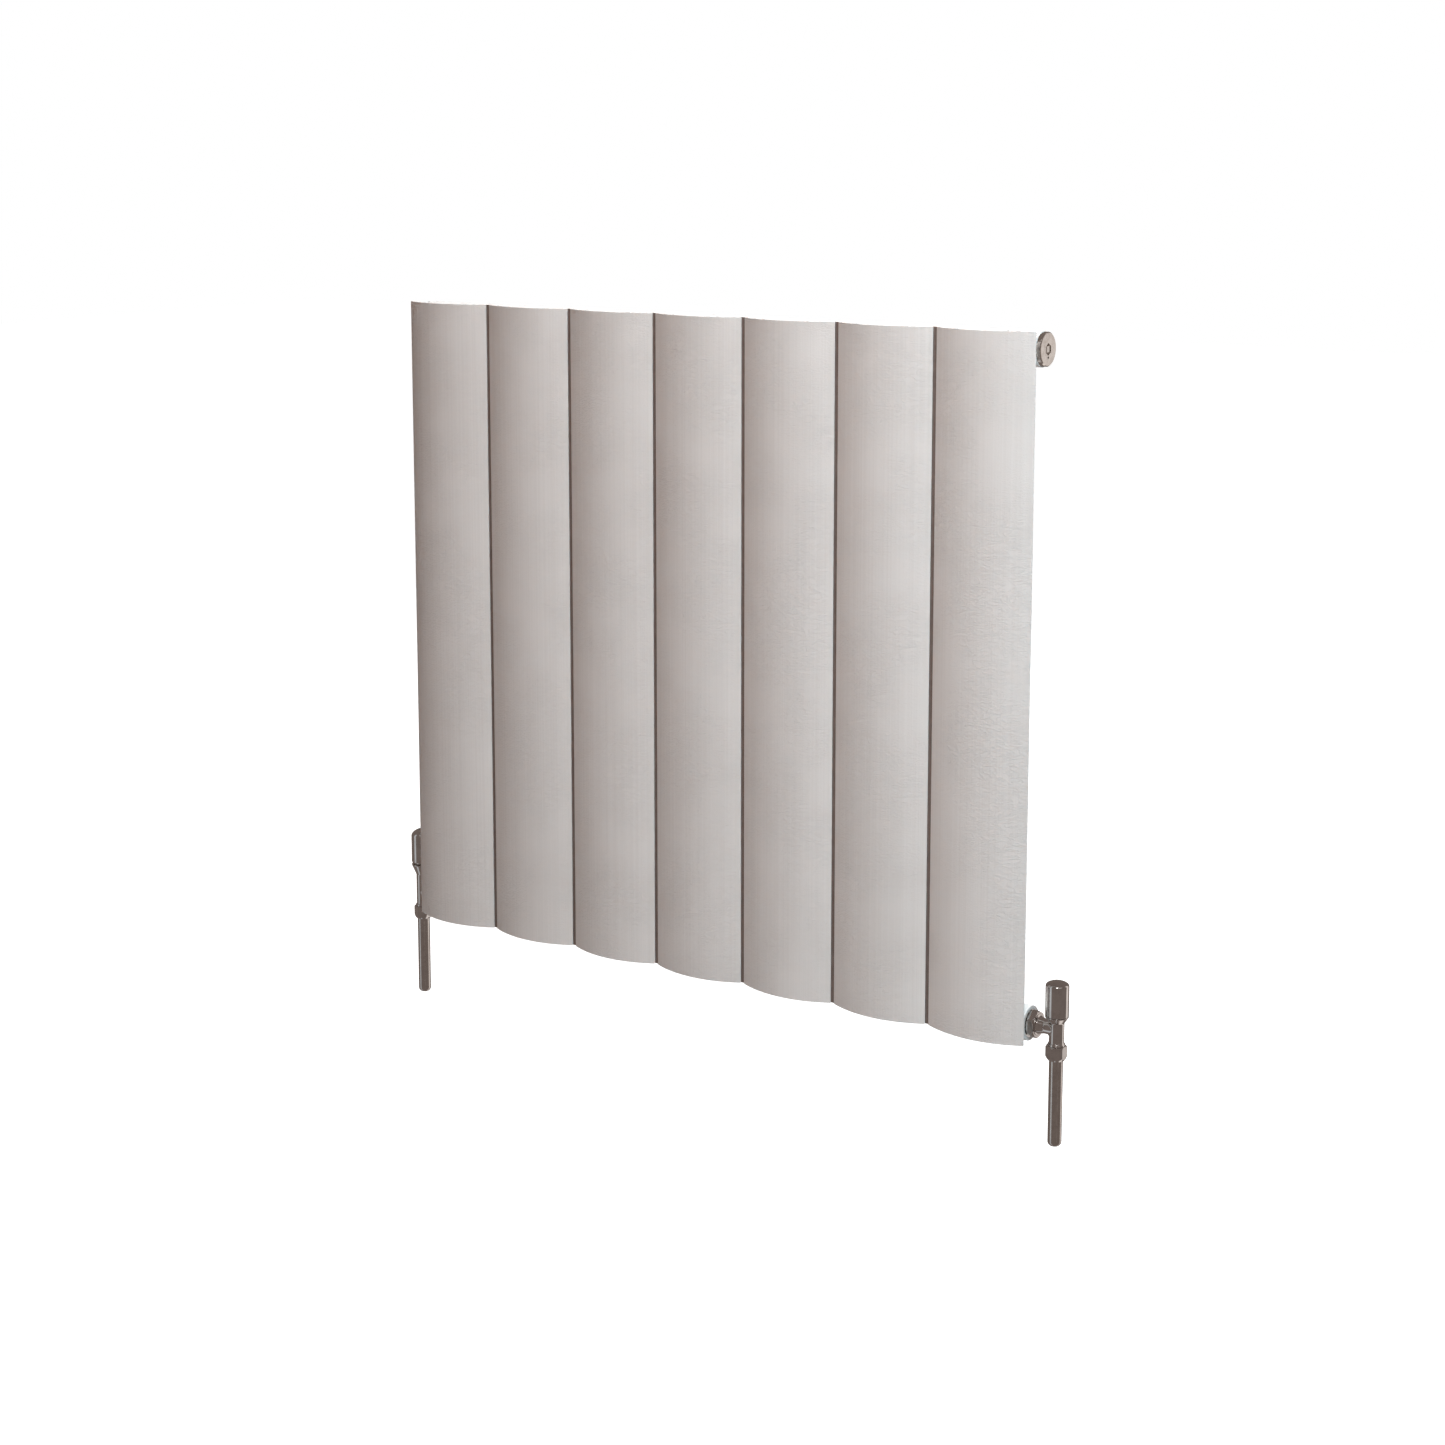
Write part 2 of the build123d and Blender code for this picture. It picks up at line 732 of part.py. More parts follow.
def make_wheel_head(side):
    """Wheel head with an inner boss that fits the spindle's square."""
    place = valve_plane(side)
    start = wheel_rim + seating_gap
    cavity_end = wheel_top - shell_top - wheel_crown
    boss_start = wheel_rim + boss_level
    socket_end = boss_start + socket_depth
    with BuildPart() as head:
        shell_solid(place, wheel_radius, start, wheel_top, wheel_crown, wheel_rim_round)
        cylinder(place, wheel_radius - shell_wall, start, cavity_end, Mode.SUBTRACT)
        cylinder(place, boss_radius, boss_start, cavity_end)
        square(place, square_flats + 2 * fit_clearance, boss_start, socket_end, Mode.SUBTRACT)
        cylinder(place, head_screw_radius + fit_clearance, socket_end, wheel_top, Mode.SUBTRACT)
        cylinder(place, head_recess_radius, wheel_top - head_recess_depth, wheel_top, Mode.SUBTRACT)
    return head


def make_head_screw(side):
    """Screw that holds the wheel head on the spindle."""
    place = valve_plane(side)
    head_start = wheel_top - head_recess_depth + fit_clearance
    head_end = head_start + head_screw_head_height
    shank_start = wheel_rim + stem_height + square_height - head_screw_grip
    with BuildPart() as screw:
        cylinder(place, head_screw_radius, shank_start, head_start)
        cylinder(place, head_screw_head_radius, head_start, head_end)
        hexagon(place, head_screw_socket_flats, head_end - head_screw_socket_depth, head_end, Mode.SUBTRACT)
    return screw


def make_compression_nut(side):
    """Hexagonal nut that clamps the olive and pipe to the body's spigot."""
    place = valve_plane(side)
    nut_top = shoulder_level - fit_clearance
    nut_base = compression_nut_base
    thread_base = spigot_end_level - olive_height - 2 * fit_clearance
    corner = compression_nut_flats / sqrt(3)
    with BuildPart() as nut:
        hexagon(place, compression_nut_flats, nut_base, nut_top)
        turn(
            place,
            [
                (0, nut_base),
                (compression_nut_base_radius, nut_base),
                (corner, nut_base + compression_nut_taper),
                (corner, nut_top - compression_nut_chamfer),
                (compression_nut_flats / 2, nut_top),
                (0, nut_top),
            ],
            Mode.INTERSECT,
        )
        cylinder(place, pipe_radius + fit_clearance, nut_base, thread_base, Mode.SUBTRACT)
        cylinder(place, spigot_radius + fit_clearance, thread_base, nut_top, Mode.SUBTRACT)
    return nut


def make_olive(side):
    """Brass olive, bevelled at both ends."""
    inner = pipe_radius + fit_clearance
    top = spigot_end_level - fit_clearance
    base = top - olive_height
    with BuildPart() as olive:
        turn(
            valve_plane(side),
            [
                (inner, base),
                ((inner + spigot_radius) / 2, base),
                (spigot_radius, base + olive_bevel),
                (spigot_radius, top - olive_bevel),
                ((inner + spigot_radius) / 2, top),
                (inner, top),
            ],
        )
    return olive


def make_pipe(side):
    """Supply pipe, drawn in to a rounded open end, with the groove that marks how far it enters the fitting."""
    place = valve_plane(side)
    half_plane = Plane(origin=place.origin, x_dir=place.x_dir, z_dir=-place.y_dir)
    top = pipe_stop_level - fit_clearance
    inner = pipe_radius - pipe_wall
    inner_round = pipe_end_round - pipe_wall
    mark_radius = pipe_radius - pipe_mark_depth
    mark_start = compression_nut_base - fit_clearance
    with BuildPart() as pipe:
        with BuildSketch(half_plane):
            with BuildLine():
                Polyline(
                    (pipe_radius - pipe_end_round, pipe_end_level + pipe_wall),
                    (pipe_radius - pipe_end_round, pipe_end_level),
                )
                RadiusArc(
                    (pipe_radius - pipe_end_round, pipe_end_level),
                    (pipe_radius, pipe_end_level + pipe_end_round),
                    -pipe_end_round,
                )
                Polyline(
                    (pipe_radius, pipe_end_level + pipe_end_round),
                    (pipe_radius, mark_start),
                    (mark_radius, mark_start),
                    (mark_radius, mark_start + pipe_mark_width),
                    (pipe_radius, mark_start + pipe_mark_width),
                    (pipe_radius, top),
                    (inner, top),
                    (inner, pipe_end_level + pipe_end_round),
                )
                RadiusArc(
                    (inner, pipe_end_level + pipe_end_round),
                    (inner - inner_round, pipe_end_level + pipe_wall),
                    inner_round,
                )
            make_face()
        revolve(axis=Axis(place.origin, place.z_dir))
    return pipe


# Sections, headers and their closures
for number, centre_x in enumerate(section_places, start=1):
    save(make_section(centre_x), f"section_{number}")
save(make_channel_caps(section_top_z - channel_cap_depth), "channel_caps_top")
save(make_channel_caps(section_bottom_z), "channel_caps_bottom")
save(make_joint_strips(), "joint_strips")
save(make_header(header_top_z), "header_top")
save(make_header(header_bottom_z), "header_bottom")
for side, side_name in ((-1, "left"), (1, "right")):
    save(make_bush(side, header_top_z), f"bush_top_{side_name}")
    save(make_bush(side, header_bottom_z), f"bush_bottom_{side_name}")

# Blanking plug at the upper left, vent plug and bleed screw at the upper right
with BuildPart() as blanking_plug:
    blank_place = end_plane(-1, header_top_z)
    plug_blank(blank_place)
    blank_face = seating_gap + plug_head_depth
    hexagon(blank_place, blank_recess_flats, blank_face - blank_recess_depth, blank_face, Mode.SUBTRACT)
save(blanking_plug, "blanking_plug")
save(make_plug_ring(-1), "blanking_plug_ring")

vent_place = end_plane(1, header_top_z)
vent_face = seating_gap + plug_head_depth
recess_floor = vent_face - vent_recess_depth
bleed_seat = recess_floor - bleed_thread_length
with BuildPart() as vent_plug:
    plug_blank(vent_place)
    hexagon(vent_place, vent_recess_flats, recess_floor, vent_face, Mode.SUBTRACT)
    cylinder(vent_place, bleed_radius + fit_clearance, bleed_seat, recess_floor, Mode.SUBTRACT)
    cylinder(vent_place, vent_way_radius, -plug_thread_length, bleed_seat, Mode.SUBTRACT)
    outlet_place = Plane(
        origin=(header_half, header_y, header_top_z - outlet_offset), x_dir=(0, 1, 0), z_dir=(1, 0, 0)
    )
    cylinder(outlet_place, outlet_radius, vent_face - outlet_depth, vent_face, Mode.SUBTRACT)
    way_place = Plane(origin=(header_half + vent_face - outlet_depth + outlet_radius, header_y, header_top_z))
    cylinder(way_place, outlet_radius, -outlet_offset, 0, Mode.SUBTRACT)
save(vent_plug, "vent_plug")
save(make_plug_ring(1), "vent_plug_ring")

with BuildPart() as bleed_screw:
    bleed_start = bleed_seat + seating_gap
    turn(
        vent_place,
        [
            (0, bleed_start),
            (bleed_tip_radius, bleed_start),
            (bleed_radius, bleed_start + bleed_tip_length),
            (bleed_radius, recess_floor + fit_clearance),
            (0, recess_floor + fit_clearance),
        ],
    )
    head_base = recess_floor + fit_clearance
    square(vent_place, bleed_head_flats, head_base, head_base + bleed_head_height)
save(bleed_screw, "bleed_screw")

# Wall brackets
bracket_places = [
    ("upper_left", -bracket_place, header_top_z),
    ("upper_right", bracket_place, header_top_z),
    ("lower_left", -bracket_place, header_bottom_z),
    ("lower_right", bracket_place, header_bottom_z),
]
for name, centre_x, level in bracket_places:
    save(make_bracket(centre_x, level), f"bracket_{name}")
    save(make_liner(centre_x, level), f"bracket_liner_{name}")
save(make_lock_screws([(centre_x, level) for name, centre_x, level in bracket_places]), "bracket_lock_screws")

# Valves: wheel-head valve at the left end, lockshield valve at the right end
for side, name, neck, rim, bowl_radius in (
    (-1, "wheel_valve", wheel_neck, wheel_rim, wheel_radius),
    (1, "lockshield_valve", lockshield_neck, lockshield_rim, lockshield_radius),
):
    save(make_tail(side), f"{name}_tail")
    save(make_tail_seal(side), f"{name}_tail_seal")
    save(make_union_nut(side), f"{name}_union_nut")
    save(make_valve_body(side, neck, rim, bowl_radius), f"{name}_body")
    save(make_bonnet(side, rim), f"{name}_bonnet")
    save(make_stem_seal(side, rim), f"{name}_stem_seal")
    save(make_gland_nut(side, rim), f"{name}_gland_nut")
    save(make_spindle(side, rim, tapped=side < 0), f"{name}_spindle")
    save(make_jumper(side, rim), f"{name}_jumper")
    save(make_washer(side), f"{name}_washer")
    save(make_compression_nut(side), f"{name}_compression_nut")
    save(make_olive(side), f"{name}_olive")
    save(make_pipe(side), f"{name}_pipe")
save(make_wheel_head(-1), "wheel_head")
save(make_head_screw(-1), "wheel_head_screw")
save(make_lockshield_cap(1), "lockshield_cap")
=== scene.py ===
import json
import logging
from collections.abc import Callable, Iterable, Sequence
from dataclasses import dataclass, field
from enum import Enum
from math import cos, pi, radians, sin, sqrt

import bmesh
import bpy
from mathutils import Matrix, Vector


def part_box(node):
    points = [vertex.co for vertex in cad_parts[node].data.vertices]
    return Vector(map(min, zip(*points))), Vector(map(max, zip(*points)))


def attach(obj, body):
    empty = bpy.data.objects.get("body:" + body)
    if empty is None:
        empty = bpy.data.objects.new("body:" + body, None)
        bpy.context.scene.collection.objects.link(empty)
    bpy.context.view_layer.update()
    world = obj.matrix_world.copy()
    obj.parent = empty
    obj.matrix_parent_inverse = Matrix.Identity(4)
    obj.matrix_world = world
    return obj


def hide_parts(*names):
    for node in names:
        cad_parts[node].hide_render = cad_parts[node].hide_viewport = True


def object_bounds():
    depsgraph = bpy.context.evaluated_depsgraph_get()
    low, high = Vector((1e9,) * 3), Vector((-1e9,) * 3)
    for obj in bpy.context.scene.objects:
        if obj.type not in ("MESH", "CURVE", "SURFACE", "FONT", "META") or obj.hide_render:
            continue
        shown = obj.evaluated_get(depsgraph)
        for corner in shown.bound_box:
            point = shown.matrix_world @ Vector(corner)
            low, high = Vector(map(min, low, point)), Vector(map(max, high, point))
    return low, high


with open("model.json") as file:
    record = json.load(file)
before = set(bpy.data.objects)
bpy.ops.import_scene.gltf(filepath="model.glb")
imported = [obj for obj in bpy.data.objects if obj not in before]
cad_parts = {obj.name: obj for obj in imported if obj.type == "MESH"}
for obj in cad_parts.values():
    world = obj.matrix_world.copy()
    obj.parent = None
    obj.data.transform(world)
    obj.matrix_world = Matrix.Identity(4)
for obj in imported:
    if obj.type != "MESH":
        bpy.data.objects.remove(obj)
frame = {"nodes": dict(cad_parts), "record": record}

cad_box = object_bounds()
log = logging.getLogger("radiator")

MM = 0.001
Colour = tuple[float, float, float]
Flat = tuple[float, float]
RingRule = Callable[[float], Vector]


class Side(Enum):
    """End of the radiator, seen from the room."""

    LEFT = -1
    RIGHT = 1


class Body(Enum):
    """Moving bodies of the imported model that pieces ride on."""

    RADIATOR = "radiator"
    WHEEL = "wheel_head_assembly"
    COVER = "lockshield_cover"


# ---------------------------------------------------------------- mesh making


@dataclass(frozen=True)
class Seat:
    """Place of a turned piece: a point, the axis it is turned about and a direction across it."""

    origin: Vector
    axis: Vector
    across: Vector

    def point(self, local: Vector) -> Vector:
        """Return a point given along across, beyond and axis, in the row frame."""
        beyond = self.axis.cross(self.across)
        return self.origin + self.across * local.x + beyond * local.y + self.axis * local.z


def circle(radius: float, height: float) -> RingRule:
    """Return the rule of a round ring."""
    return lambda angle: Vector((radius * cos(angle), radius * sin(angle), height))


def prism_radius(flats: float, sides: int, angle: float) -> float:
    """Return the distance from the middle to the outline of a regular bar with a flat facing across."""
    share = 2 * pi / sides
    return flats / 2 / cos((angle + share / 2) % share - share / 2)


def prism(flats: float, sides: int, height: float) -> RingRule:
    """Return the rule of a ring with the outline of a regular bar.

    Args:
        flats: Width across the flats.
        sides: Number of flat sides.
        height: Height of the ring along its axis.

    Returns:
        The rule of the ring.
    """

    def rule(angle: float) -> Vector:
        """Return the ring's point at an angle."""
        radius = prism_radius(flats, sides, angle)
        return Vector((radius * cos(angle), radius * sin(angle), height))

    return rule


def bevelled_hexagon(flats: float, face_radius: float, end: float, slope: float) -> RingRule:
    """Return the rule of the edge where a turned bevel meets a hexagon's sides.

    Args:
        flats: Width across the flats.
        face_radius: Radius of the end face.
        end: Height of the end face.
        slope: Signed height gained for each unit of radius beyond the face radius.

    Returns:
        The rule of that edge.
    """

    def rule(angle: float) -> Vector:
        """Return the ring's point at an angle."""
        radius = prism_radius(flats, 6, angle)
        height = end + slope * max(0.0, radius - face_radius)
        return Vector((radius * cos(angle), radius * sin(angle), height))

    return rule


def clipped_hexagon(flats: float, face_radius: float, height: float) -> RingRule:
    """Return the rule of an end face that is round where the bevel cuts it and flat-sided elsewhere.

    Args:
        flats: Width across the flats.
        face_radius: Radius of the round face that the bevel leaves.
        height: Height of the ring along its axis.

    Returns:
        The rule of the ring.
    """

    def rule(angle: float) -> Vector:
        """Return the ring's point at an angle."""
        radius = min(face_radius, prism_radius(flats, 6, angle))
        return Vector((radius * cos(angle), radius * sin(angle), height))

    return rule


def rounded(corners: Sequence[tuple[float, float, float]], steps: int = 6) -> list[Flat]:
    """Round the corners of a closed outline.

    Args:
        corners: Corner positions, each with its rounding radius.
        steps: Number of segments of each rounding.

    Returns:
        The points of the rounded outline.
    """
    points: list[Flat] = []
    for index, (x, y, radius) in enumerate(corners):
        here = Vector((x, y))
        before = Vector(corners[index - 1][:2]) - here
        after = Vector(corners[(index + 1) % len(corners)][:2]) - here
        if radius <= 0 or before.length < 1e-9 or after.length < 1e-9:
            points.append((x, y))
            continue
        before.normalize()
        after.normalize()
        half = before.angle(after) / 2
        if half > pi / 2 - 1e-3:
            points.append((x, y))
            continue
        reach = radius / max(1e-6, sin(half) / cos(half))
        middle = here + (before + after).normalized() * (radius / sin(half))
        start = here + before * reach - middle
        end = here + after * reach - middle
        for step in range(steps + 1):
            points.append(tuple(middle + start.slerp(end, step / steps) * start.length))
    return points


def finish_mesh(piece: bpy.types.Object, smooth_angle: float = 32.0) -> None:
    """Shade a mesh smooth with sharp edges above an angle, and weight its normals by face size.

    Args:
        piece: Object to work on.
        smooth_angle: Largest angle in degrees that still looks smooth.
    """
    mesh = piece.data
    for polygon in mesh.polygons:
        polygon.use_smooth = True
    mesh.set_sharp_from_angle(angle=radians(smooth_angle))
    weighted = piece.modifiers.new("weighted_normals", "WEIGHTED_NORMAL")
    weighted.keep_sharp = True
    weighted.weight = 80


def new_piece(name: str, mesh_maker: bmesh.types.BMesh) -> bpy.types.Object:
    """Turn a finished bmesh into an object of the scene.

    Args:
        name: Name of the result.
        mesh_maker: Finished bmesh, freed here.

    Returns:
        The object.
    """
    bmesh.ops.remove_doubles(mesh_maker, verts=mesh_maker.verts, dist=1e-7)
    bmesh.ops.dissolve_degenerate(mesh_maker, edges=mesh_maker.edges, dist=1e-7)
    bmesh.ops.recalc_face_normals(mesh_maker, faces=mesh_maker.faces)
    mesh = bpy.data.meshes.new(name)
    mesh_maker.to_mesh(mesh)
    mesh_maker.free()
    piece = bpy.data.objects.new(name, mesh)
    bpy.context.scene.collection.objects.link(piece)
    return piece


def add_rings(
    shape: bmesh.types.BMesh, seat: Seat, rings: Sequence[RingRule], segments: int, closed: bool
) -> None:
    """Add a skin over a row of rings to a bmesh.

    Args:
        shape: Mesh that receives the skin.
        seat: Place of the rings.
        rings: One rule for each ring; a ring of no radius becomes a pole.
        segments: Number of points around each ring.
        closed: Whether the last ring joins the first.
    """
    rows: list[list[bmesh.types.BMVert]] = []
    for rule in rings:
        if Vector(rule(0.0)[:2]).length < 1e-9:
            rows.append([shape.verts.new(seat.point(rule(0.0)))])
            continue
        angles = [2 * pi * step / segments for step in range(segments)]
        rows.append([shape.verts.new(seat.point(rule(angle))) for angle in angles])
    pairs = list(zip(rows, rows[1:]))
    if closed:
        pairs.append((rows[-1], rows[0]))
    for low, high in pairs:
        if len(low) == 1 and len(high) == 1:
            continue
        for step in range(segments):
            after = (step + 1) % segments
            if len(low) == 1:
                corners = [low[0], high[after], high[step]]
            elif len(high) == 1:
                corners = [low[step], low[after], high[0]]
            else:
                corners = [low[step], low[after], high[after], high[step]]
            shape.faces.new(corners)


def spun(
    name: str, seat: Seat, rings: Sequence[RingRule], segments: int = 96, closed: bool = True
) -> bpy.types.Object:
    """Build one piece from a row of rings.

    Args:
        name: Name of the result.
        seat: Place of the piece.
        rings: Rules of the rings, in order.
        segments: Number of points around a ring.
        closed: Whether the last ring joins the first.

    Returns:
        The object.
    """
    shape = bmesh.new()
    add_rings(shape, seat, rings, segments, closed)
    return new_piece(name, shape)


def turned(
    name: str, seat: Seat, corners: Sequence[tuple[float, float, float]], segments: int = 96
) -> bpy.types.Object:
    """Build a piece turned from an outline of (radius, height, rounding) corners in millimetres."""
    outline = rounded([(r * MM, h * MM, c * MM) for r, h, c in corners])
    return spun(name, seat, [circle(max(0.0, r), h) for r, h in outline], segments)


def settle(piece: bpy.types.Object) -> None:
    """Apply all modifiers of a piece to its mesh.

    Args:
        piece: Object to work on.
    """
    graph = bpy.context.evaluated_depsgraph_get()
    mesh = bpy.data.meshes.new_from_object(piece.evaluated_get(graph))
    piece.modifiers.clear()
    old = piece.data
    piece.data = mesh
    bpy.data.meshes.remove(old)


def soften_edges(piece: bpy.types.Object, width: float, angle: float = 30.0) -> None:
    """Round the sharp edges of a closed mesh by a width in millimetres.

    Args:
        piece: Object to work on.
        width: Width of the rounding in millimetres.
        angle: Smallest angle in degrees that counts as an edge.
    """
    bevel = piece.modifiers.new("edge_rounding", "BEVEL")
    bevel.width = width * MM
    bevel.segments = 3
    bevel.limit_method = "ANGLE"
    bevel.angle_limit = radians(angle)
    bevel.use_clamp_overlap = True
    settle(piece)


def cut(piece: bpy.types.Object, tool: bpy.types.Object) -> None:
    """Cut a tool's volume out of a piece and discard the tool.

    Args:
        piece: Object to work on.
        tool: Object whose volume is taken away.
    """
    boolean = piece.modifiers.new("cut", "BOOLEAN")
    boolean.operation = "DIFFERENCE"
    boolean.solver = "EXACT"
    boolean.object = tool
    settle(piece)
    bpy.data.objects.remove(tool)


def extruded(
    name: str, outlines: Sequence[Sequence[Flat]], origin: Vector, height: float, edge: float
) -> bpy.types.Object:
    """Extrude flat outlines upwards with rounded end edges.

    Args:
        name: Name of the piece.
        outlines: Outer outline followed by the outlines of its holes, in metres.
        origin: Place of the outlines' origin and of the lower end.
        height: Length of the extrusion.
        edge: Rounding of the end edges.

    Returns:
        The piece.
    """
    curve = bpy.data.curves.new(name, "CURVE")
    curve.dimensions = "2D"
    curve.fill_mode = "BOTH"
    curve.extrude = height / 2 - edge
    curve.bevel_depth = edge
    curve.bevel_resolution = 2
    curve.offset = -edge
    for outline in outlines:
        spline = curve.splines.new("POLY")
        spline.points.add(len(outline) - 1)
        for place, (x, y) in zip(spline.points, outline):
            place.co = (x, y, 0.0, 1.0)
        spline.use_cyclic_u = True
    source = bpy.data.objects.new(name, curve)
    bpy.context.scene.collection.objects.link(source)
    bpy.context.view_layer.update()
    graph = bpy.context.evaluated_depsgraph_get()
    mesh = bpy.data.meshes.new_from_object(source.evaluated_get(graph))
    bpy.data.objects.remove(source)
    bpy.data.curves.remove(curve)
    mesh.transform(Matrix.Translation(origin + Vector((0, 0, height / 2))))
    shape = bmesh.new()
    shape.from_mesh(mesh)
    bpy.data.meshes.remove(mesh)
    return new_piece(name, shape)


def bead(
    shape: bmesh.types.BMesh, path: Sequence[Vector], radius: float, ripples: int, depth: float
) -> None:
    """Add a closed weld bead along a loop of points, with overlapping ripples.

    Args:
        shape: Mesh that receives the bead.
        path: Points of the closed loop.
        radius: Radius of the bead.
        ripples: Number of ripples around the loop.
        depth: Share of the radius by which the ripples swell.
    """
    around = 10
    rows: list[list[bmesh.types.BMVert]] = []
    count = len(path)
    centre = sum(path, Vector()) / count
    for index, here in enumerate(path):
        along = (path[(index + 1) % count] - path[index - 1]).normalized()
        out = here - centre
        out = (out - along * out.dot(along)).normalized()
        up = along.cross(out)
        phase = (index * ripples / count) % 1.0
        swell = radius * (1 + depth * (1 - phase) - depth / 2)
        angles = [2 * pi * step / around for step in range(around)]
        rows.append([shape.verts.new(here + out * cos(a) * swell + up * sin(a) * swell) for a in angles])
    for index, row in enumerate(rows):
        following = rows[(index + 1) % count]
        for step in range(around):
            after = (step + 1) % around
            shape.faces.new([row[step], following[step], following[after], row[after]])


# ---------------------------------------------------------------- shader effects


class Effect(Enum):
    """Shader effects that several finishes share."""

    PEEL = "coat_peel"
    DUST = "settled_dust"
    SMUDGE = "smudged_gloss"
    TURNING = "turning_lines"
    EDGE = "lightened_edge"


@dataclass
class Wiring:
    """Node tree being wired."""

    tree: bpy.types.NodeTree

    def node(self, kind: str, **settings: object) -> bpy.types.Node:
        """Add a node and set its properties.

        Args:
            kind: Type of the node.
            settings: Properties to set on it.

        Returns:
            The node.
        """
        made = self.tree.nodes.new(kind)
        for name, value in settings.items():
            setattr(made, name, value)
        return made

    def math(self, operation: str, *values: object) -> bpy.types.NodeSocket:
        """Add a math node on sockets or numbers and return its output.

        Args:
            operation: Operation of the node.
            values: Sockets or values, in order.

        Returns:
            Its output.
        """
        made = self.node("ShaderNodeMath", operation=operation)
        self.feed(made, values)
        return made.outputs[0]

    def vector(self, operation: str, *values: object) -> bpy.types.Node:
        """Add a vector math node on sockets or vectors and return it.

        Args:
            operation: Operation of the node.
            values: Sockets or values, in order.

        Returns:
            The node.
        """
        made = self.node("ShaderNodeVectorMath", operation=operation)
        self.feed(made, values)
        return made

    def feed(self, made: bpy.types.Node, values: Iterable[object]) -> None:
        """Link or set the inputs of a node in order.

        Args:
            made: Node whose inputs are set.
            values: Sockets or values, in order.
        """
        for socket, value in zip(made.inputs, values):
            if isinstance(value, bpy.types.NodeSocket):
                self.tree.links.new(value, socket)
            else:
                socket.default_value = value

    def noise(
        self, place: object, scale: object, detail: float, roughness: float = 0.5
    ) -> bpy.types.NodeSocket:
        """Add a noise texture and return its value.

        Args:
            place: Socket with the position.
            scale: Scale of the noise, a number or a socket.
            detail: Number of octaves.
            roughness: Strength of the finer octaves.

        Returns:
            Its value output.
        """
        made = self.node("ShaderNodeTexNoise")
        self.link(place, made.inputs["Vector"])
        if isinstance(scale, bpy.types.NodeSocket):
            self.link(scale, made.inputs["Scale"])
        else:
            made.inputs["Scale"].default_value = scale
        made.inputs["Detail"].default_value = detail
        made.inputs["Roughness"].default_value = roughness
        return made.outputs[0]

    def spread(
        self, value: object, low: float, high: float, to_low: float = 0.0, to_high: float = 1.0
    ) -> bpy.types.NodeSocket:
        """Map a value smoothly from one range to another, with both ends held.

        Args:
            value: Value to map.
            low: Start of the range.
            high: End of the range.
            to_low: Result at the start.
            to_high: Result at the end.

        Returns:
            The mapped value.
        """
        made = self.node("ShaderNodeMapRange", interpolation_type="SMOOTHSTEP")
        self.feed(made, (value, low, high, to_low, to_high))
        return made.outputs[0]

    def mix(self, share: object, first: object, second: object) -> bpy.types.NodeSocket:
        """Mix two colours and return the result.

        Args:
            share: Share of the second colour.
            first: Colour at share 0.
            second: Colour at share 1.

        Returns:
            The mixed colour.
        """
        made = self.node("ShaderNodeMix", data_type="RGBA")
        for socket, value in ((made.inputs[0], share), (made.inputs[6], first), (made.inputs[7], second)):
            if isinstance(value, bpy.types.NodeSocket):
                self.link(value, socket)
            elif isinstance(value, tuple):
                socket.default_value = (*value, 1.0)
            else:
                socket.default_value = value
        return made.outputs[2]

    def link(self, source: bpy.types.NodeSocket, target: bpy.types.NodeSocket) -> None:
        """Join two sockets."""
        self.tree.links.new(source, target)


def open_group(
    effect: Effect, inputs: Sequence[tuple[str, str, float]], outputs: Sequence[tuple[str, str]]
) -> tuple[Wiring, bpy.types.Node, bpy.types.Node]:
    """Start a shader node group with named sockets.

    Args:
        effect: Effect that the group makes.
        inputs: Name, socket kind and default of each input.
        outputs: Name and socket kind of each output.

    Returns:
        The group's wiring, its input node and its output node.
    """
    tree = bpy.data.node_groups.new(effect.value, "ShaderNodeTree")
    for name, kind, default in inputs:
        socket = tree.interface.new_socket(name=name, in_out="INPUT", socket_type=f"NodeSocket{kind}")
        if kind == "Float":
            socket.default_value = default
    for name, kind in outputs:
        tree.interface.new_socket(name=name, in_out="OUTPUT", socket_type=f"NodeSocket{kind}")
    wiring = Wiring(tree)
    return wiring, wiring.node("NodeGroupInput"), wiring.node("NodeGroupOutput")


def make_peel() -> bpy.types.NodeTree:
    """Sprayed coat: a fine pebbled skin, short creases across it and faint draw lines along the height.

    Returns:
        The node group.
    """
    inputs = [("Place", "Vector", 0.0), ("Grain", "Float", 900.0), ("Creases", "Float", 0.5)]
    wiring, given, result = open_group(Effect.PEEL, inputs, [("Height", "Float"), ("Tone", "Float")])
    place = given.outputs["Place"]
    grain = given.outputs["Grain"]
    pebbles = wiring.noise(place, grain, 2.0)
    lain = wiring.vector("MULTIPLY", place, (0.45, 0.45, 1.3)).outputs[0]
    ripples = wiring.noise(lain, wiring.math("MULTIPLY", grain, 0.32), 3.0, 0.6)
    ridge = wiring.math("ABSOLUTE", wiring.math("SUBTRACT", ripples, 0.5))
    crease = wiring.spread(ridge, 0.0, 0.07, 1.0, 0.0)
    patch = wiring.spread(wiring.noise(place, 14.0, 2.0), 0.2, 0.6)
    creased = wiring.math("MULTIPLY", wiring.math("MULTIPLY", crease, given.outputs["Creases"]), patch)
    tall = wiring.vector("MULTIPLY", place, (1.0, 1.0, 0.004)).outputs[0]
    lines = wiring.noise(tall, 620.0, 3.0)
    skin = wiring.math("MULTIPLY", pebbles, 0.6)
    height = wiring.math("ADD", skin, wiring.math("ADD", creased, wiring.math("MULTIPLY", lines, 0.15)))
    drift = wiring.math("MULTIPLY", wiring.noise(place, 9.0, 3.0), 0.4)
    tone = wiring.math("ADD", wiring.math("MULTIPLY", lines, 0.6), drift)
    wiring.link(height, result.inputs["Height"])
    wiring.link(tone, result.inputs["Tone"])
    return wiring.tree


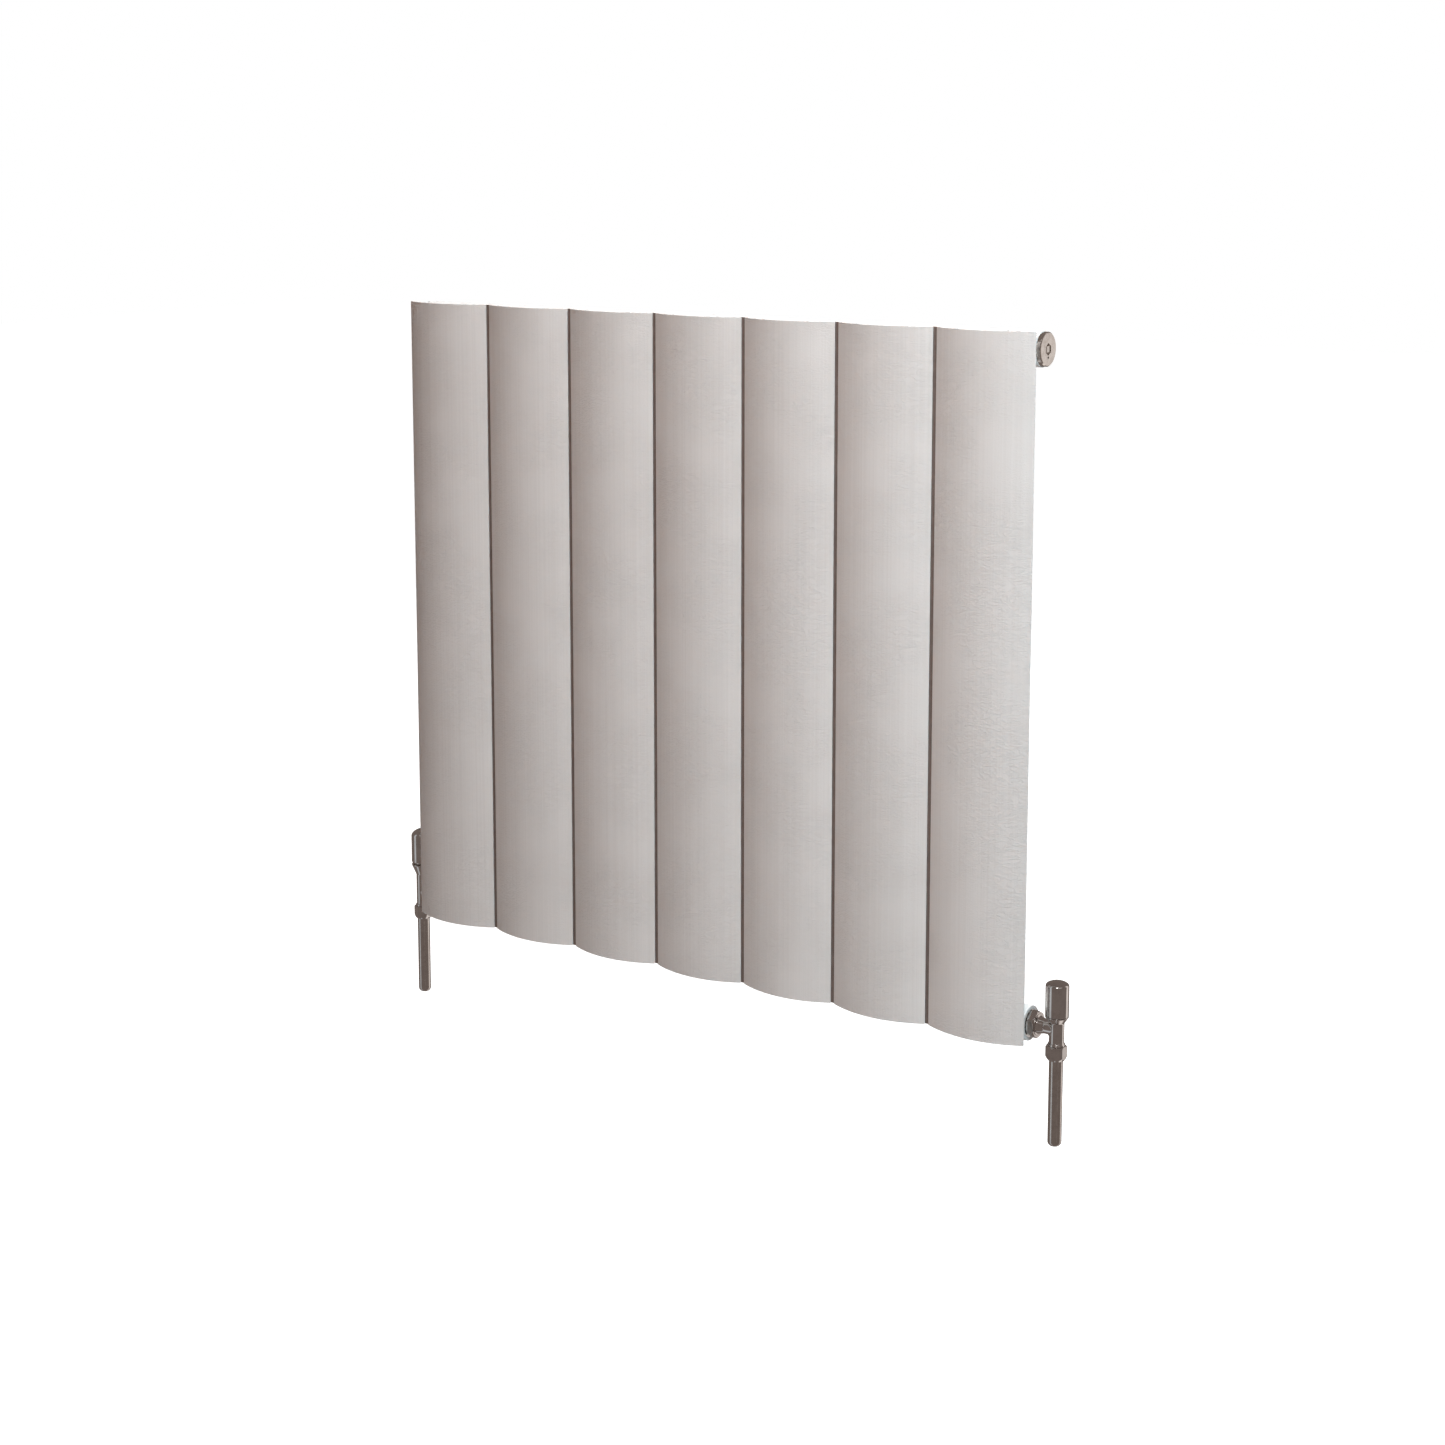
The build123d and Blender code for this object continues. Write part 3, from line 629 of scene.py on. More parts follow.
def make_dust() -> bpy.types.NodeTree:
    """Dust that settles in patches on faces that look upwards.

    Returns:
        The node group.
    """
    inputs = [("Place", "Vector", 0.0), ("Amount", "Float", 0.2)]
    wiring, given, result = open_group(Effect.DUST, inputs, [("Mask", "Float")])
    facing = wiring.node("ShaderNodeSeparateXYZ")
    wiring.link(wiring.node("ShaderNodeNewGeometry").outputs["Normal"], facing.inputs[0])
    up = wiring.spread(facing.outputs["Z"], 0.55, 0.95)
    patches = wiring.spread(wiring.noise(given.outputs["Place"], 60.0, 5.0, 0.6), 0.35, 0.7)
    mask = wiring.math("MULTIPLY", wiring.math("MULTIPLY", up, patches), given.outputs["Amount"])
    wiring.link(mask, result.inputs["Mask"])
    return wiring.tree


def make_smudge() -> bpy.types.NodeTree:
    """Roughness that drifts between polished and handled.

    Returns:
        The node group.
    """
    inputs = [("Place", "Vector", 0.0), ("Polished", "Float", 0.06), ("Handled", "Float", 0.14)]
    wiring, given, result = open_group(Effect.SMUDGE, inputs, [("Roughness", "Float"), ("Mask", "Float")])
    place = given.outputs["Place"]
    cloudy = wiring.spread(wiring.noise(place, 110.0, 4.0, 0.65), 0.38, 0.68)
    wiped = wiring.noise(wiring.vector("MULTIPLY", place, (1.0, 1.0, 0.12)).outputs[0], 900.0, 3.0)
    mask = wiring.math("MULTIPLY", cloudy, wiring.spread(wiped, 0.3, 0.7, 0.4, 1.0))
    rough = wiring.node("ShaderNodeMapRange")
    wiring.feed(rough, (mask, 0.0, 1.0, given.outputs["Polished"], given.outputs["Handled"]))
    wiring.link(rough.outputs[0], result.inputs["Roughness"])
    wiring.link(mask, result.inputs["Mask"])
    return wiring.tree


def make_turning() -> bpy.types.NodeTree:
    """Fine lines left by a lathe tool, level around an upright axis.

    Returns:
        The node group.
    """
    inputs = [("Place", "Vector", 0.0), ("Lines", "Float", 2500.0)]
    wiring, given, result = open_group(Effect.TURNING, inputs, [("Height", "Float")])
    long = wiring.vector("MULTIPLY", given.outputs["Place"], (0.03, 0.03, 1.0)).outputs[0]
    wiring.link(wiring.noise(long, given.outputs["Lines"], 3.0, 0.6), result.inputs["Height"])
    return wiring.tree


def make_edge() -> bpy.types.NodeTree:
    """Mask of raised edges, broken up in patches, where the finishes make their colour lighter.

    Returns:
        The node group.
    """
    inputs = [("Place", "Vector", 0.0), ("Amount", "Float", 0.5)]
    wiring, given, result = open_group(Effect.EDGE, inputs, [("Mask", "Float")])
    raised = wiring.spread(wiring.node("ShaderNodeNewGeometry").outputs["Pointiness"], 0.52, 0.6)
    broken = wiring.spread(wiring.noise(given.outputs["Place"], 340.0, 4.0, 0.6), 0.35, 0.65)
    mask = wiring.math("MULTIPLY", wiring.math("MULTIPLY", raised, broken), given.outputs["Amount"])
    wiring.link(mask, result.inputs["Mask"])
    return wiring.tree


EFFECT_MAKERS: dict[Effect, Callable[[], bpy.types.NodeTree]] = {
    Effect.PEEL: make_peel,
    Effect.DUST: make_dust,
    Effect.SMUDGE: make_smudge,
    Effect.TURNING: make_turning,
    Effect.EDGE: make_edge,
}


# ---------------------------------------------------------------- finishes


@dataclass
class FinishTree(Wiring):
    """Wiring of one material around its Principled shader."""

    shader: bpy.types.Node = None
    place: bpy.types.NodeSocket = None

    @classmethod
    def start(cls, name: str) -> tuple["FinishTree", bpy.types.Material]:
        """Start a material and return its wiring with it.

        Args:
            name: Name of the result.

        Returns:
            The wiring and the material.
        """
        material = bpy.data.materials.new(name)
        material.use_nodes = True
        tree = material.node_tree
        made = cls(tree)
        made.shader = tree.nodes["Principled BSDF"]
        made.place = made.node("ShaderNodeTexCoord").outputs["Object"]
        return made, material

    def effect(self, effect: Effect, **values: float) -> bpy.types.Node:
        """Place a shared effect with its own values.

        Args:
            effect: Effect to place.
            values: Names and values of the group's inputs.

        Returns:
            The group node.
        """
        group = bpy.data.node_groups.get(effect.value) or EFFECT_MAKERS[effect]()
        made = self.node("ShaderNodeGroup", node_tree=group)
        self.link(self.place, made.inputs["Place"])
        for name, value in values.items():
            made.inputs[name].default_value = value
        return made

    def settings(self, **values: object) -> None:
        """Set the shader's own sockets.

        Args:
            values: Socket names, with underscores for spaces, and their values.
        """
        for name, value in values.items():
            socket = self.shader.inputs[name.replace("_", " ")]
            socket.default_value = (*value, 1.0) if isinstance(value, tuple) else value

    def colour(self, value: bpy.types.NodeSocket) -> None:
        """Feed the base colour."""
        self.link(value, self.shader.inputs["Base Color"])

    def roughness(self, value: bpy.types.NodeSocket) -> None:
        """Feed the roughness."""
        self.link(value, self.shader.inputs["Roughness"])

    def bump(self, height: bpy.types.NodeSocket, depth: float, strength: float = 1.0) -> None:
        """Feed the normal from a height with a depth in millimetres.

        Args:
            height: Socket with the height.
            depth: Depth of the relief in millimetres.
            strength: Share of the relief that shows.
        """
        made = self.node("ShaderNodeBump")
        made.inputs["Strength"].default_value = strength
        made.inputs["Distance"].default_value = depth * MM
        self.link(height, made.inputs["Height"])
        self.link(made.outputs[0], self.shader.inputs["Normal"])


@dataclass(frozen=True)
class PowderCoat:
    """Matt sprayed and baked coat."""

    slot: str
    light: Colour
    deep: Colour
    grain: float = 900.0
    depth: float = 0.12
    creases: float = 0.6
    dust: float = 0.15

    def material(self) -> bpy.types.Material:
        """Build the material.

        Returns:
            The material.
        """
        tree, material = FinishTree.start(self.slot)
        tree.settings(Specular_IOR_Level=0.35, Metallic=0.0)
        peel = tree.effect(Effect.PEEL, Grain=self.grain, Creases=self.creases)
        dust = tree.effect(Effect.DUST, Amount=self.dust)
        edge = tree.effect(Effect.EDGE, Amount=0.25)
        coat = tree.mix(tree.spread(peel.outputs["Tone"], 0.35, 0.65), self.deep, self.light)
        # lighter colour on raised edges, in broken patches
        edge_lightened_coat = tree.mix(edge.outputs["Mask"], coat, (0.9, 0.89, 0.88))
        tree.colour(tree.mix(dust.outputs["Mask"], edge_lightened_coat, (0.72, 0.7, 0.67)))
        tree.roughness(tree.spread(peel.outputs["Height"], 0.3, 0.9, 0.62, 0.48))
        tree.bump(peel.outputs["Height"], self.depth)
        return material


@dataclass(frozen=True)
class Plating:
    """Polished plated metal."""

    slot: str
    bright: Colour
    dull: Colour
    polished: float = 0.05
    handled: float = 0.13
    dust: float = 0.12

    def material(self) -> bpy.types.Material:
        """Build the material.

        Returns:
            The material.
        """
        tree, material = FinishTree.start(self.slot)
        tree.settings(Metallic=1.0)
        smudge = tree.effect(Effect.SMUDGE, Polished=self.polished, Handled=self.handled)
        edge = tree.effect(Effect.EDGE, Amount=0.4)
        dust = tree.effect(Effect.DUST, Amount=self.dust)
        lines = tree.effect(Effect.TURNING, Lines=1800.0)
        plate = tree.mix(smudge.outputs["Mask"], self.bright, self.dull)
        # lighter colour on raised edges, in broken patches
        edge_lightened = tree.mix(edge.outputs["Mask"], plate, (0.86, 0.85, 0.83))
        tree.colour(tree.mix(dust.outputs["Mask"], edge_lightened, (0.5, 0.48, 0.45)))
        tree.roughness(smudge.outputs["Roughness"])
        tree.bump(lines.outputs["Height"], 0.004)
        return material


@dataclass(frozen=True)
class Machined:
    """Bare turned or rolled metal with tool lines."""

    slot: str
    bright: Colour
    dull: Colour
    lines: float = 2600.0
    depth: float = 0.02
    polished: float = 0.22
    handled: float = 0.4

    def material(self) -> bpy.types.Material:
        """Build the material.

        Returns:
            The material.
        """
        tree, material = FinishTree.start(self.slot)
        tree.settings(Metallic=1.0)
        smudge = tree.effect(Effect.SMUDGE, Polished=self.polished, Handled=self.handled)
        lines = tree.effect(Effect.TURNING, Lines=self.lines)
        edge = tree.effect(Effect.EDGE, Amount=0.7)
        tint = tree.mix(smudge.outputs["Mask"], self.bright, self.dull)
        # lighter colour on raised edges, in broken patches
        tree.colour(tree.mix(edge.outputs["Mask"], tint, tuple(min(1.0, 1.25 * c) for c in self.bright)))
        tree.roughness(smudge.outputs["Roughness"])
        tree.bump(lines.outputs["Height"], self.depth)
        return material


@dataclass(frozen=True)
class Moulded:
    """Moulded nylon, rubber or pressed fibre."""

    slot: str
    light: Colour
    deep: Colour
    grain: float = 2200.0
    depth: float = 0.03
    low: float = 0.45
    high: float = 0.6

    def material(self) -> bpy.types.Material:
        """Build the material.

        Returns:
            The material.
        """
        tree, material = FinishTree.start(self.slot)
        tree.settings(Metallic=0.0, Specular_IOR_Level=0.4)
        peel = tree.effect(Effect.PEEL, Grain=self.grain, Creases=0.1)
        smudge = tree.effect(Effect.SMUDGE, Polished=self.low, Handled=self.high)
        dust = tree.effect(Effect.DUST, Amount=0.2)
        tint = tree.mix(smudge.outputs["Mask"], self.deep, self.light)
        tree.colour(tree.mix(dust.outputs["Mask"], tint, (0.6, 0.58, 0.55)))
        tree.roughness(smudge.outputs["Roughness"])
        tree.bump(peel.outputs["Height"], self.depth)
        return material


Finish = PowderCoat | Plating | Machined | Moulded

FINISHES: tuple[Finish, ...] = (
    PowderCoat("panel_paint", light=(0.81, 0.795, 0.785), deep=(0.775, 0.757, 0.745), creases=1.0, depth=0.2),
    PowderCoat("cap_paint", light=(0.82, 0.81, 0.80), deep=(0.78, 0.77, 0.76), creases=0.2),
    PowderCoat("header_paint", light=(0.84, 0.83, 0.82), deep=(0.80, 0.79, 0.78), creases=0.3, depth=0.08),
    PowderCoat("bracket_paint", light=(0.82, 0.81, 0.80), deep=(0.77, 0.76, 0.75), creases=0.3, depth=0.08),
    Machined("bush_metal", bright=(0.80, 0.80, 0.79), dull=(0.66, 0.66, 0.65)),
    Machined("screw_steel", bright=(0.62, 0.62, 0.60), dull=(0.45, 0.44, 0.42)),
    Machined("brass", bright=(0.78, 0.60, 0.33), dull=(0.58, 0.42, 0.22)),
    Plating("plug_chrome", bright=(0.80, 0.76, 0.72), dull=(0.66, 0.61, 0.57), polished=0.12, handled=0.24),
    Plating("valve_chrome", bright=(0.66, 0.63, 0.61), dull=(0.56, 0.53, 0.51)),
    Plating("cap_chrome", bright=(0.66, 0.63, 0.61), dull=(0.56, 0.53, 0.51)),
    Plating("pipe_chrome", bright=(0.62, 0.58, 0.55), dull=(0.52, 0.48, 0.46), polished=0.12, handled=0.24),
    Moulded("liner_plastic", light=(0.80, 0.80, 0.77), deep=(0.72, 0.72, 0.69)),
    Moulded("seal_rubber", light=(0.055, 0.053, 0.05), deep=(0.03, 0.03, 0.03), low=0.55, high=0.75),
    # joint_seal: the dark colour of the strips between the sections is painted shade, standing in for the
    # shaded seams between sections
    Moulded("joint_seal", light=(0.23, 0.185, 0.168), deep=(0.18, 0.145, 0.13), low=0.6, high=0.8),
    Moulded("seal_fibre", light=(0.40, 0.13, 0.09), deep=(0.28, 0.08, 0.06), low=0.7, high=0.85),
)


@dataclass
class Palette:
    """Materials of the record's slots, built once."""

    materials: dict[str, bpy.types.Material] = field(default_factory=dict)

    def __post_init__(self) -> None:
        """Build every finish."""
        for finish in FINISHES:
            self.materials[finish.slot] = finish.material()

    def dress(self, piece: bpy.types.Object, slot: str) -> None:
        """Give a piece a slot's material as its only one.

        Args:
            piece: Object to work on.
            slot: Slot whose material it gets.
        """
        piece.data.materials.clear()
        piece.data.materials.append(self.materials[slot])
        for polygon in piece.data.polygons:
            polygon.material_index = 0


@dataclass
class Fitter:
    """Dresses finished pieces, sets them on their bodies and reports them."""

    palette: Palette
    replaced: set[str] = field(default_factory=set)

    def fit(
        self,
        piece: bpy.types.Object,
        body: Body,
        slot: str,
        nodes: Sequence[str] = (),
        smooth: float = 32.0,
    ) -> None:
        """Finish one piece.

        Args:
            piece: Piece in its place at rest.
            body: Body that it moves with.
            slot: Material slot of its finish.
            nodes: CAD nodes that it stands for.
            smooth: Angle in degrees above which its edges are sharp.
        """
        finish_mesh(piece, smooth)
        self.palette.dress(piece, slot)
        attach(piece, body.value)
        if nodes:
            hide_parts(*nodes)
            self.replaced.update(nodes)
        log.info("%s: %d faces on %s, finish %s", piece.name, len(piece.data.polygons), body.value, slot)


# ---------------------------------------------------------------- the radiator


@dataclass(frozen=True)
class Layout:
    """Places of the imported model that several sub-assemblies share."""

    header_radius: float = 15.0

    def header_seat(self, top: bool) -> Seat:
        """Return the place of a header's axis at the middle of the radiator.

        Args:
            top: Whether the upper header is meant.

        Returns:
            The seat.
        """
        low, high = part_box("header_top" if top else "header_bottom")
        middle = Vector((0.0, high.y - self.header_radius * MM, (low.z + high.z) / 2))
        return Seat(middle, Vector((1, 0, 0)), Vector((0, 1, 0)))

    def end_seat(self, side: Side, top: bool) -> Seat:
        """Return the place of a header's end face, its axis pointing out of the header.

        Args:
            side: End of the radiator.
            top: Whether the upper header is meant.

        Returns:
            The seat.
        """
        middle = self.header_seat(top).origin
        out = side.value
        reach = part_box("header_top")[1].x
        return Seat(middle + Vector((out * reach, 0, 0)), Vector((out, 0, 0)), Vector((0, out, 0)))

    def valve_seat(self, valve: str) -> Seat:
        """Return the place of a valve's upright axis at the level of the lower header.

        Args:
            valve: Prefix of the names of the valve's nodes.

        Returns:
            The seat.
        """
        low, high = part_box(f"{valve}_pipe")
        level = self.header_seat(top=False).origin.z
        middle = Vector(((low.x + high.x) / 2, (low.y + high.y) / 2, level))
        return Seat(middle, Vector((0, 0, 1)), Vector((1, 0, 0)))


@dataclass
class Sections:
    """Seven extruded sections with curved fronts, and the plates that close their channels.

    Sizes in millimetres.
    """

    fitter: Fitter
    count: int = 7
    chord: float = 92.0
    rise: float = 12.0
    thickness: float = 2.0
    edge_round: float = 0.6
    curve_step: float = 1.5
    channel_width: float = 40.0
    channel_reach: float = 7.0
    channel_round: float = 5.0
    channel_root_round: float = 0.8
    channel_wall: float = 1.8
    fin_places: tuple[float, ...] = (37.333, 28.667)
    fin_thickness: float = 1.4
    fin_reach: float = 4.0
    fin_root_round: float = 0.5
    fin_tip_round: float = 0.3
    end_round: float = 0.25
    plate_round: float = 0.2
    plate_clearance: float = 0.1

    def half_outline(self) -> list[tuple[float, float, float]]:
        """Return the corners from the right edge of the front to the middle of the channel's back.

        Returns:
            The corners with their roundings.
        """
        half = self.chord / 2
        outer = (half**2 + self.rise**2) / (2 * self.rise)
        centre = outer - self.rise
        inner = outer - self.thickness

        def back(x: float) -> float:
            """Return the level of the back face at a place across."""
            return centre - sqrt(inner**2 - x**2)

        root, tip = self.fin_root_round, self.fin_tip_round
        edge = half * inner / outer
        corners = [(half, 0.0, self.edge_round), (edge, back(edge), self.edge_round)]
        x = edge
        for place in self.fin_places:
            near, far = place + self.fin_thickness / 2, place - self.fin_thickness / 2
            corners += self.along(back, x, near)
            corners += [(near, back(near), root), (near, self.fin_reach, tip)]
            corners += [(far, self.fin_reach, tip), (far, back(far), root)]
            x = far
        side = self.channel_width / 2
        corners += self.along(back, x, side)
        corners += [(side, back(side), self.channel_root_round)]
        corners += [(side, self.channel_reach, self.channel_round)]
        return corners

    def along(
        self, curve: Callable[[float], float], start: float, end: float
    ) -> list[tuple[float, float, float]]:
        """Return points of a curve strictly between two places.

        Args:
            curve: Rule that gives the height of the curve at a place.
            start: Place before the first point.
            end: Place after the last point.

        Returns:
            The points.
        """
        steps = max(2, int(abs(end - start) / self.curve_step))
        places = [start + (end - start) * step / steps for step in range(1, steps)]
        return [(x, curve(x), 0.0) for x in places]

    def outline(self) -> list[Flat]:
        """Return the whole outer outline, in metres.

        Returns:
            The points, in metres.
        """
        half = self.chord / 2
        outer = (half**2 + self.rise**2) / (2 * self.rise)
        centre = outer - self.rise
        right = self.half_outline()
        left = [(-x, y, r) for x, y, r in reversed(right)]
        front = self.along(lambda x: centre - sqrt(outer**2 - x**2), -half, half)
        corners = right + left + front
        return [(x * MM, y * MM) for x, y in rounded(corners, 4)]

    def bore(self) -> list[Flat]:
        """Return the outline of the water channel, in metres.

        Returns:
            The points, in metres.
        """
        half = self.channel_width / 2 - self.channel_wall
        low = -self.rise + 2 * self.thickness
        high = self.channel_reach - self.channel_wall
        turn = self.channel_round - self.channel_wall
        corners = [(half, low, turn), (half, high, turn), (-half, high, turn), (-half, low, turn)]
        return [(x * MM, y * MM) for x, y in rounded(corners)]

    def plate(self) -> list[Flat]:
        """Return the outline of a channel's closing plate, in metres."""
        shrink = 1 - self.plate_clearance / (self.channel_width - 2 * self.channel_wall)
        return [(x * shrink, y * shrink) for x, y in self.bore()]

    def build(self) -> None:
        """Build and fit every section and the closing plates of both ends."""
        outline, bore = self.outline(), self.bore()
        front = None
        for number in range(1, self.count + 1):
            low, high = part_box(f"section_{number}")
            front = low.y + self.rise * MM
            place = Vector(((low.x + high.x) / 2, front, low.z))
            name = f"curved_section_{number}"
            piece = extruded(name, (outline, bore), place, high.z - low.z, self.end_round * MM)
            self.fitter.fit(piece, Body.RADIATOR, "panel_paint", [f"section_{number}"], smooth=38.0)
        for end in ("top", "bottom"):
            low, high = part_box(f"channel_caps_{end}")
            shape = bmesh.new()
            for number in range(1, self.count + 1):
                near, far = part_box(f"section_{number}")
                place = Vector(((near.x + far.x) / 2, front, low.z))
                plate = extruded("plate", (self.plate(),), place, high.z - low.z, self.plate_round * MM)
                shape.from_mesh(plate.data)
                bpy.data.objects.remove(plate)
            piece = new_piece(f"channel_plates_{end}", shape)
            self.fitter.fit(piece, Body.RADIATOR, "cap_paint", [f"channel_caps_{end}"])


@dataclass
class Headers:
    """Two header tubes with their nipples and weld beads. Sizes in millimetres."""

    fitter: Fitter
    layout: Layout
    radius: float = 15.0
    wall: float = 3.0
    end_round: float = 0.5
    bore_round: float = 0.3
    tube_steps: int = 128
    nipple_steps: int = 64
    nipple_radius: float = 7.0
    nipple_bore: float = 4.5
    nipple_reach: float = 17.0
    saddle_sink: float = 0.4
    bead_radius: float = 0.95
    bead_offset: float = 0.15
    bead_lift: float = 0.35
    upper_bead_radius: float = 0.7
    upper_bead_offset: float = 0.1
    upper_bead_drop: float = 0.75
    ripples: int = 22
    ripple_depth: float = 0.25
    bead_steps: int = 176

    def nipple(self, shape: bmesh.types.BMesh, seat: Seat) -> None:
        """Add one nipple that stands on the header towards a channel.

        Args:
            shape: Mesh that receives it.
            seat: Place of the nipple.
        """
        rings = []
        for radius in (self.nipple_radius, self.nipple_bore):
            foot = self.saddle(radius)
            top = circle(radius * MM, self.nipple_reach * MM)
            rings += [foot, top] if radius == self.nipple_radius else [top, foot]
        add_rings(shape, seat, rings, self.nipple_steps, closed=True)

    def weld(self, beads: bmesh.types.BMesh, seat: Seat) -> None:
        """Add the two weld beads of one nipple, at the header and at the channel.

        Args:
            beads: Mesh that receives the beads.
            seat: Place of the nipple.
        """
        angles = [2 * pi * step / self.bead_steps for step in range(self.bead_steps)]
        foot = self.saddle(self.nipple_radius + self.bead_offset)
        lift = Vector((0, 0, self.bead_lift * MM))
        path = [seat.point(foot(angle) + lift) for angle in angles]
        bead(beads, path, self.bead_radius * MM, self.ripples, self.ripple_depth)
        level = self.nipple_reach - self.upper_bead_drop
        ring = circle((self.nipple_radius + self.upper_bead_offset) * MM, level * MM)
        path = [seat.point(ring(angle)) for angle in angles]
        bead(beads, path, self.upper_bead_radius * MM, self.ripples, self.ripple_depth)

    def saddle(self, radius: float) -> RingRule:
        """Return the rule of the ring where a nipple of some radius meets the header.

        Args:
            radius: Radius of the nipple.

        Returns:
            The rule of the ring.
        """
        sunk = self.radius - self.saddle_sink

        def rule(angle: float) -> Vector:
            """Return the ring's point at an angle."""
            x, y = radius * cos(angle), radius * sin(angle)
            return Vector((x, y, sqrt(sunk**2 - y**2))) * MM

        return rule

    def build(self) -> None:
        """Build and fit both headers."""
        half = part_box("header_top")[1].x / MM
        numbers = range(1, Sections.count + 1)
        centres = [sum(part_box(f"section_{number}"), Vector()).x / 2 for number in numbers]
        for end in ("top", "bottom"):
            seat = self.layout.header_seat(end == "top")
            outline = [
                (self.radius, -half, self.end_round),
                (self.radius, half, self.end_round),
                (self.radius - self.wall, half, self.bore_round),
                (self.radius - self.wall, -half, self.bore_round),
            ]
            tube = turned(f"header_tube_{end}", seat, outline, self.tube_steps)
            shape = bmesh.new()
            shape.from_mesh(tube.data)
            bpy.data.objects.remove(tube)
            beads = bmesh.new()
            for centre in centres:
                middle = seat.origin + Vector((centre, 0, 0))
                stand = Seat(middle, Vector((0, -1, 0)), Vector((1, 0, 0)))
                self.nipple(shape, stand)
                self.weld(beads, stand)
            tube = new_piece(f"header_{end}_tube", shape)
            self.fitter.fit(tube, Body.RADIATOR, "header_paint", [f"header_{end}"])
            welds = new_piece(f"header_{end}_welds", beads)
            self.fitter.fit(welds, Body.RADIATOR, "header_paint", smooth=50.0)


@dataclass(frozen=True)
class Bowl:
    """Levels and size of a valve's upper end. Millimetres above the lower header's axis."""

    neck: float
    rim: float
    radius: float
    top: float
    crown: float
    edge_round: float


class Head(Enum):
    """Kind of a valve's upper end."""

    LOCKSHIELD = Bowl(neck=5.4, rim=11.3, radius=10.0, top=41.9, crown=3.0, edge_round=2.5)
    WHEEL = Bowl(neck=17.6, rim=28.3, radius=10.8, top=64.0, crown=5.5, edge_round=5.0)


@dataclass
class Valve:
    """Plated angle valve with its union nut, compression nut, pipe and cap or head. Sizes in millimetres."""

    fitter: Fitter
    layout: Layout
    side: Side
    head: Head
    body_radius: float = 6.5
    spigot_radius: float = 6.85
    spigot_end: float = -21.0
    shoulder_radius: float = 7.4
    shoulder_level: float = -14.5
    shoulder_height: float = 1.5
    shoulder_slope: float = 1.0
    bowl_lip: float = 0.8
    bonnet_bore: float = 6.05
    bonnet_depth: float = 3.8
    chamber_radius: float = 4.8
    seat_level: float = -4.0
    inlet_radius: float = 3.25
    pipe_stop: float = -14.8
    pipe_bore: float = 6.05
    reach: float = 24.0
    arm_face: float = 4.5
    arm_flange_radius: float = 9.4
    arm_thread: float = 7.8
    arm_radius: float = 7.5
    arm_neck: float = 6.2
    arm_taper_end: float = 13.8
    arm_bore: float = 3.6
    arm_root_start: float = 1.2
    blend: float = 2.0
    wall_depth: float = 0.8
    union_flats: float = 21.5
    union_face: float = 10.9
    union_start: float = 0.3
    union_end: float = 7.3
    union_bevel: float = 1.8
    union_bore: float = 8.4
    union_thread: float = 9.45
    union_lip_end: float = 2.0
    nut_flats: float = 16.0
    nut_base: float = -26.95
    nut_top: float = -14.55
    nut_base_face: float = 7.3
    nut_taper: float = 3.0
    nut_chamfer: float = 1.0
    nut_bore: float = 6.05
    nut_thread: float = 6.9
    nut_thread_start: float = -25.1
    nut_edge_round: float = 0.22
    nut_edge_angle: float = 24.0
    pipe_radius: float = 6.0
    pipe_end: float = -103.4
    pipe_top: float = -14.85
    pipe_wall: float = 1.0
    pipe_end_hole: float = 2.0
    pipe_end_round: float = 4.0
    mark_depth: float = 0.25
    mark_start: float = 0.05
    mark_end: float = 0.75
    seating_gap: float = 0.3
    shell_wall: float = 1.5
    shell_top: float = 4.0
    crown_start: float = 0.8
    boss_radius: float = 5.0
    boss_level: float = 12.8
    socket_flats: float = 4.3
    socket_depth: float = 7.8
    screw_bore: float = 1.3
    recess_radius: float = 3.4
    recess_depth: float = 4.0

    @property
    def prefix(self) -> str:
        """Return the start of this valve's CAD node names."""
        return "lockshield_valve" if self.head is Head.LOCKSHIELD else "wheel_valve"

    def build(self) -> None:
        """Build and fit every visible piece of the valve."""
        self.build_body()
        self.build_union_nut()
        self.build_compression_nut()
        self.build_pipe()
        if self.head is Head.LOCKSHIELD:
            self.build_cap()
        else:
            self.build_wheel()

    def fit(
        self, piece: bpy.types.Object, part: str, slot: str = "valve_chrome", smooth: float = 32.0
    ) -> None:
        """Fit a piece that stands for a CAD node of this valve and stays on the radiator."""
        self.fitter.fit(piece, Body.RADIATOR, slot, [f"{self.prefix}_{part}"], smooth)

    def build_body(self) -> None:
        """Build the upright body with its bowl, and the arm that runs into it with a blended root."""
        bowl = self.head.value
        upright = self.layout.valve_seat(self.prefix)
        shoulder_top = self.shoulder_level + self.shoulder_height
        chamber_top = bowl.rim - self.bonnet_depth
        outline = [
            (self.spigot_radius, self.spigot_end, 0.2),
            (self.spigot_radius, self.shoulder_level, 0.0),
            (self.shoulder_radius, self.shoulder_level, 0.3),
            (self.shoulder_radius, shoulder_top, 0.5),
            (self.body_radius, shoulder_top + self.shoulder_slope, 1.0),
            (self.body_radius, bowl.neck, 2.5),
            (bowl.radius, bowl.rim - self.bowl_lip, 0.5),
            (bowl.radius, bowl.rim, 0.25),
            (self.bonnet_bore, bowl.rim, 0.2),
            (self.bonnet_bore, chamber_top, 0.0),
            (self.chamber_radius, chamber_top, 0.0),
            (self.chamber_radius, self.seat_level, 0.0),
            (self.inlet_radius, self.seat_level, 0.0),
            (self.inlet_radius, self.pipe_stop, 0.0),
            (self.pipe_bore, self.pipe_stop, 0.0),
            (self.pipe_bore, self.spigot_end, 0.2),
        ]
        points = rounded([(r * MM, h * MM, c * MM) for r, h, c in outline])
        shape = bmesh.new()
        add_rings(shape, upright, [circle(r, h) for r, h in points], 96, closed=True)
        add_rings(shape, self.layout.end_seat(self.side, top=False), self.arm_rings(), 96, closed=True)
        self.fit(new_piece(f"{self.prefix}_casting", shape), "body", smooth=40.0)

